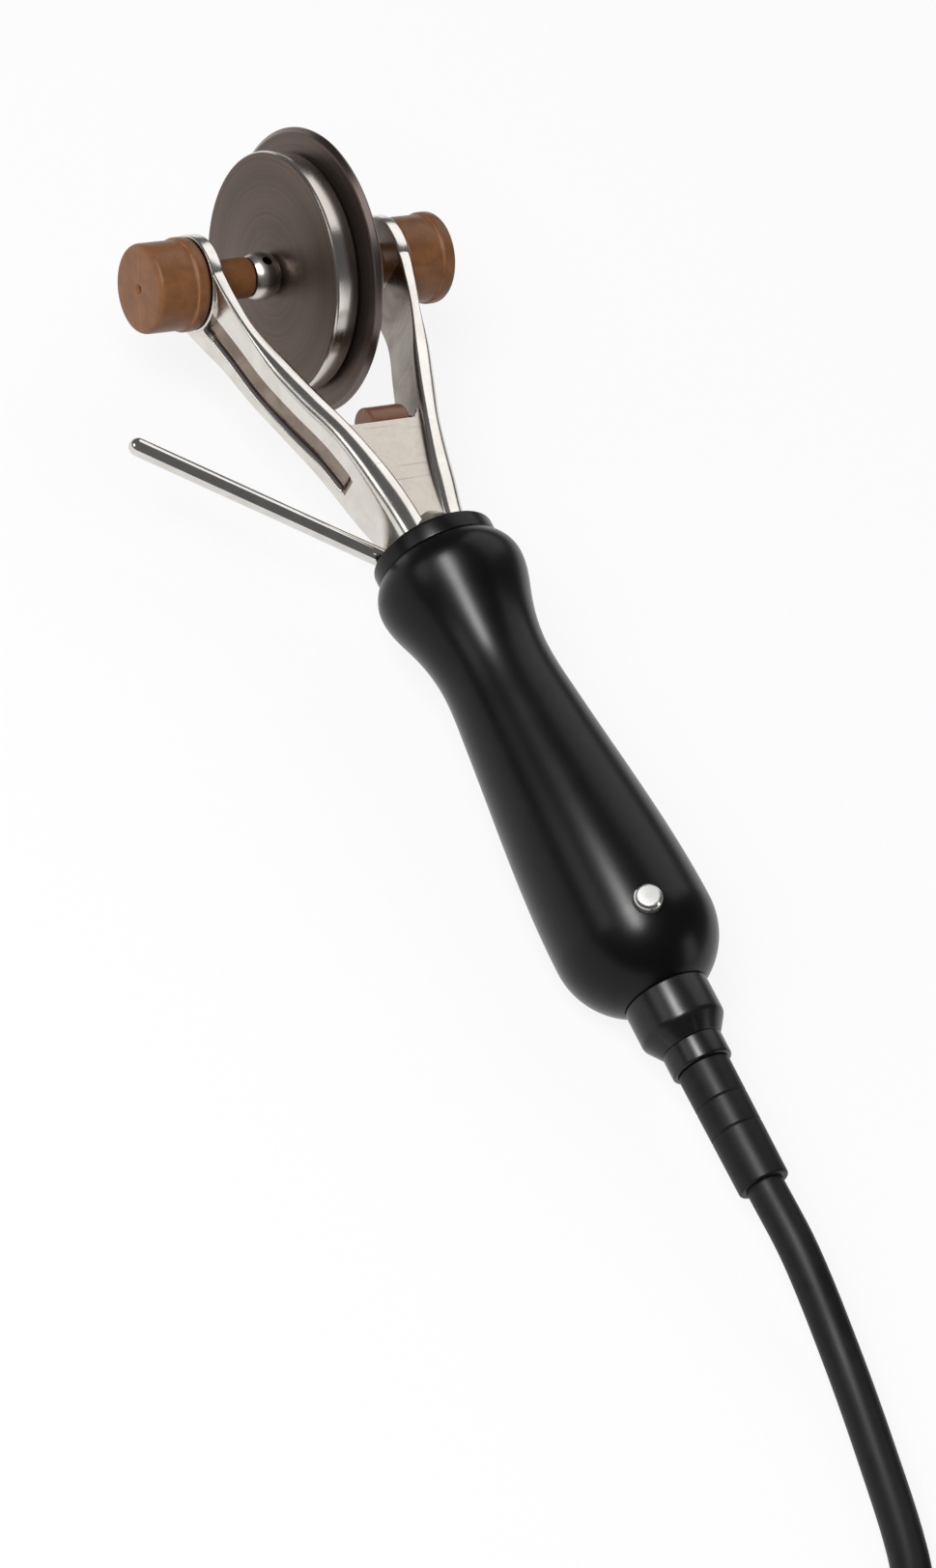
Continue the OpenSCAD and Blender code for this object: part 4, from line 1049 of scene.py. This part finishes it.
def makeCord():
    line = cordLine()
    print("cord length", sum((b - a).length for a, b in zip(line, line[1:])))
    data = tubeCurve("mainsCord", line, cord["r"], cord["roundness"])
    data.materials.append(finishes["cordRubber"])
    piece = addObject("mainsCord", data)
    stands(piece, "frame", "cord_rubber", "cord", "cord_coil", "cord_tail")
    tuple(v * mm for v in cord["exit"])


makeCord()
print("cord laid")

# solids that stay as they are get their finish, and two of them soft corners
plainFinish = {
    "axle": "plainSteel", "clamp_screws": "plainSteel", "collar_screws": "darkSteel",
    "heater_stud": "plainSteel", "heater_leads": "leadSleeve", "tang_washer": "plainSteel",
    "tang_nut": "plainSteel", "terminal_block": "whiteMoulding", "earth_lead": "earthSleeve",
    "switch_body": "switchMoulding", "switch_tabs": "brass", "switch_leads": "redSleeve",
    "mains_cores": "coreSleeve", "cord_inner": "cordRubber", "cord_tie": "tieStrap",
    "plug_body": "plugMoulding", "plug_pins": "brass",
}
softCorners = {"plug_body": 1.2, "cord_tie": 0.2}  # width in mm


def dressSolids():
    for name, label in plainFinish.items():
        for slot in nodes[name].material_slots:
            slot.material = finishes[label]
    for name, width in softCorners.items():
        weld = nodes[name].modifiers.new("weld", "WELD")
        weld.merge_threshold = 0.01 * mm
        soft = nodes[name].modifiers.new("soft", "BEVEL")
        soft.width = width * mm
        soft.segments = 3
        soft.limit_method = "ANGLE"


dressSolids()
print("solids dressed")

# floor, world and lamps
studio = {"floor": (0.86, 0.86, 0.86, 1.0), "half": 6.0, "lift": 0.86,
          "sky": (0.95, 0.97, 1.0, 1.0), "fill": 0.14, "white": (1.0, 1.0, 1.0, 1.0)}


def makeFloor():
    mesh = bpy.data.meshes.new("studioFloor")
    far = studio["half"]
    mesh.from_pydata([(-far, -far, 0), (far, -far, 0), (far, far, 0), (-far, far, 0)], [], [(0, 1, 2, 3)])
    floor = addObject("studioFloor", mesh)
    finish, tree, shader = newFinish("studioFloor")
    setInputs(shader, Base_Color=studio["floor"], Roughness=0.9, Specular_IOR_Level=0.0)
    seen = addNode(tree, "ShaderNodeLightPath")
    white = addNode(tree, "ShaderNodeEmission")
    setInputs(white, Color=studio["white"], Strength=1.0)
    direct = mathNode(tree, "MAXIMUM", seen.outputs["Is Camera Ray"], seen.outputs["Is Glossy Ray"])
    either = mathNode(tree, "MAXIMUM", direct, seen.outputs["Is Transmission Ray"])
    lift = mathNode(tree, "MULTIPLY", either, studio["lift"])
    mixShader(tree, lift, shader, white, "Material Output")
    mesh.materials.append(finish)


def makeWorld():
    world = bpy.data.worlds.new("studio")
    world.use_nodes = True
    bpy.context.scene.world = world
    tree = world.node_tree
    light = tree.nodes["Background"]
    setInputs(light, Color=studio["sky"], Strength=studio["fill"])
    white = addNode(tree, "ShaderNodeBackground")
    setInputs(white, Color=studio["white"], Strength=1.0)
    seen = addNode(tree, "ShaderNodeLightPath")
    mixShader(tree, seen.outputs["Is Camera Ray"], light, white, "World Output")


# lamp: place, aim, width, height, watts, kind of surface it lights
lamps = {
    "keySoftbox": ((-0.3, 0.8, 1.0), (0.03, 0.0, 0.03), 0.8, 0.8, 18.0, "matt"),
    "handleSoftbox": ((-0.04, 0.5, 1.0), (-0.04, 0.3, 0.0), 0.8, 0.24, 19.0, "gloss"),
    "trimSoftbox": ((-0.02, 0.36, 1.0), (-0.02, 0.36, 0.0), 0.86, 0.22, 8.0, "gloss"),
    "webSoftbox": ((0.5, -0.66, 0.76), (0.05, 0.0, 0.03), 0.9, 0.85, 2.9, "both"),
    "rimSoftbox": ((-0.65, -0.6, 0.28), (0.05, 0.0, 0.03), 0.25, 0.4, 0.5, "both"),
    "leftSoftbox": ((0.35, 1.1, 0.6), (0.05, 0.0, 0.03), 0.7, 0.4, 1.8, "both"),
}
# lamps that shine on some pieces only
shineOn = {
    "handleSoftbox": ("handleTurned", "glandNutMoulded", "glandRingMoulded", "bootMoulded", "mainsCord"),
    "trimSoftbox": ("buttonTurned", "leftCapMoulded", "rightCapMoulded", "leftBushSleeve", "rightBushSleeve",
                    "leftCollarBall", "rightCollarBall"),
}


def makeLamps():
    for name, (at, aim, wide, high, watts, kind) in lamps.items():
        data = bpy.data.lights.new(name, "AREA")
        data.shape = "RECTANGLE"
        data.size = wide
        data.size_y = high
        data.energy = watts
        lamp = addObject(name, data)
        lamp.location = at
        lamp.rotation_euler = (Vector(aim) - Vector(at)).to_track_quat("-Z", "Y").to_euler()
        lamp.visible_glossy = kind != "matt"
        lamp.visible_diffuse = kind != "gloss"


def aimShine():
    for lamp, names in shineOn.items():
        shine = bpy.data.collections.new(lamp + "Pieces")
        for name in names:
            shine.objects.link(bpy.data.objects[name])
        bpy.data.objects[lamp].light_linking.receiver_collection = shine


makeFloor()
makeWorld()
makeLamps()
aimShine()
bpy.context.scene.view_settings.view_transform = "Standard"
print("studio lit")
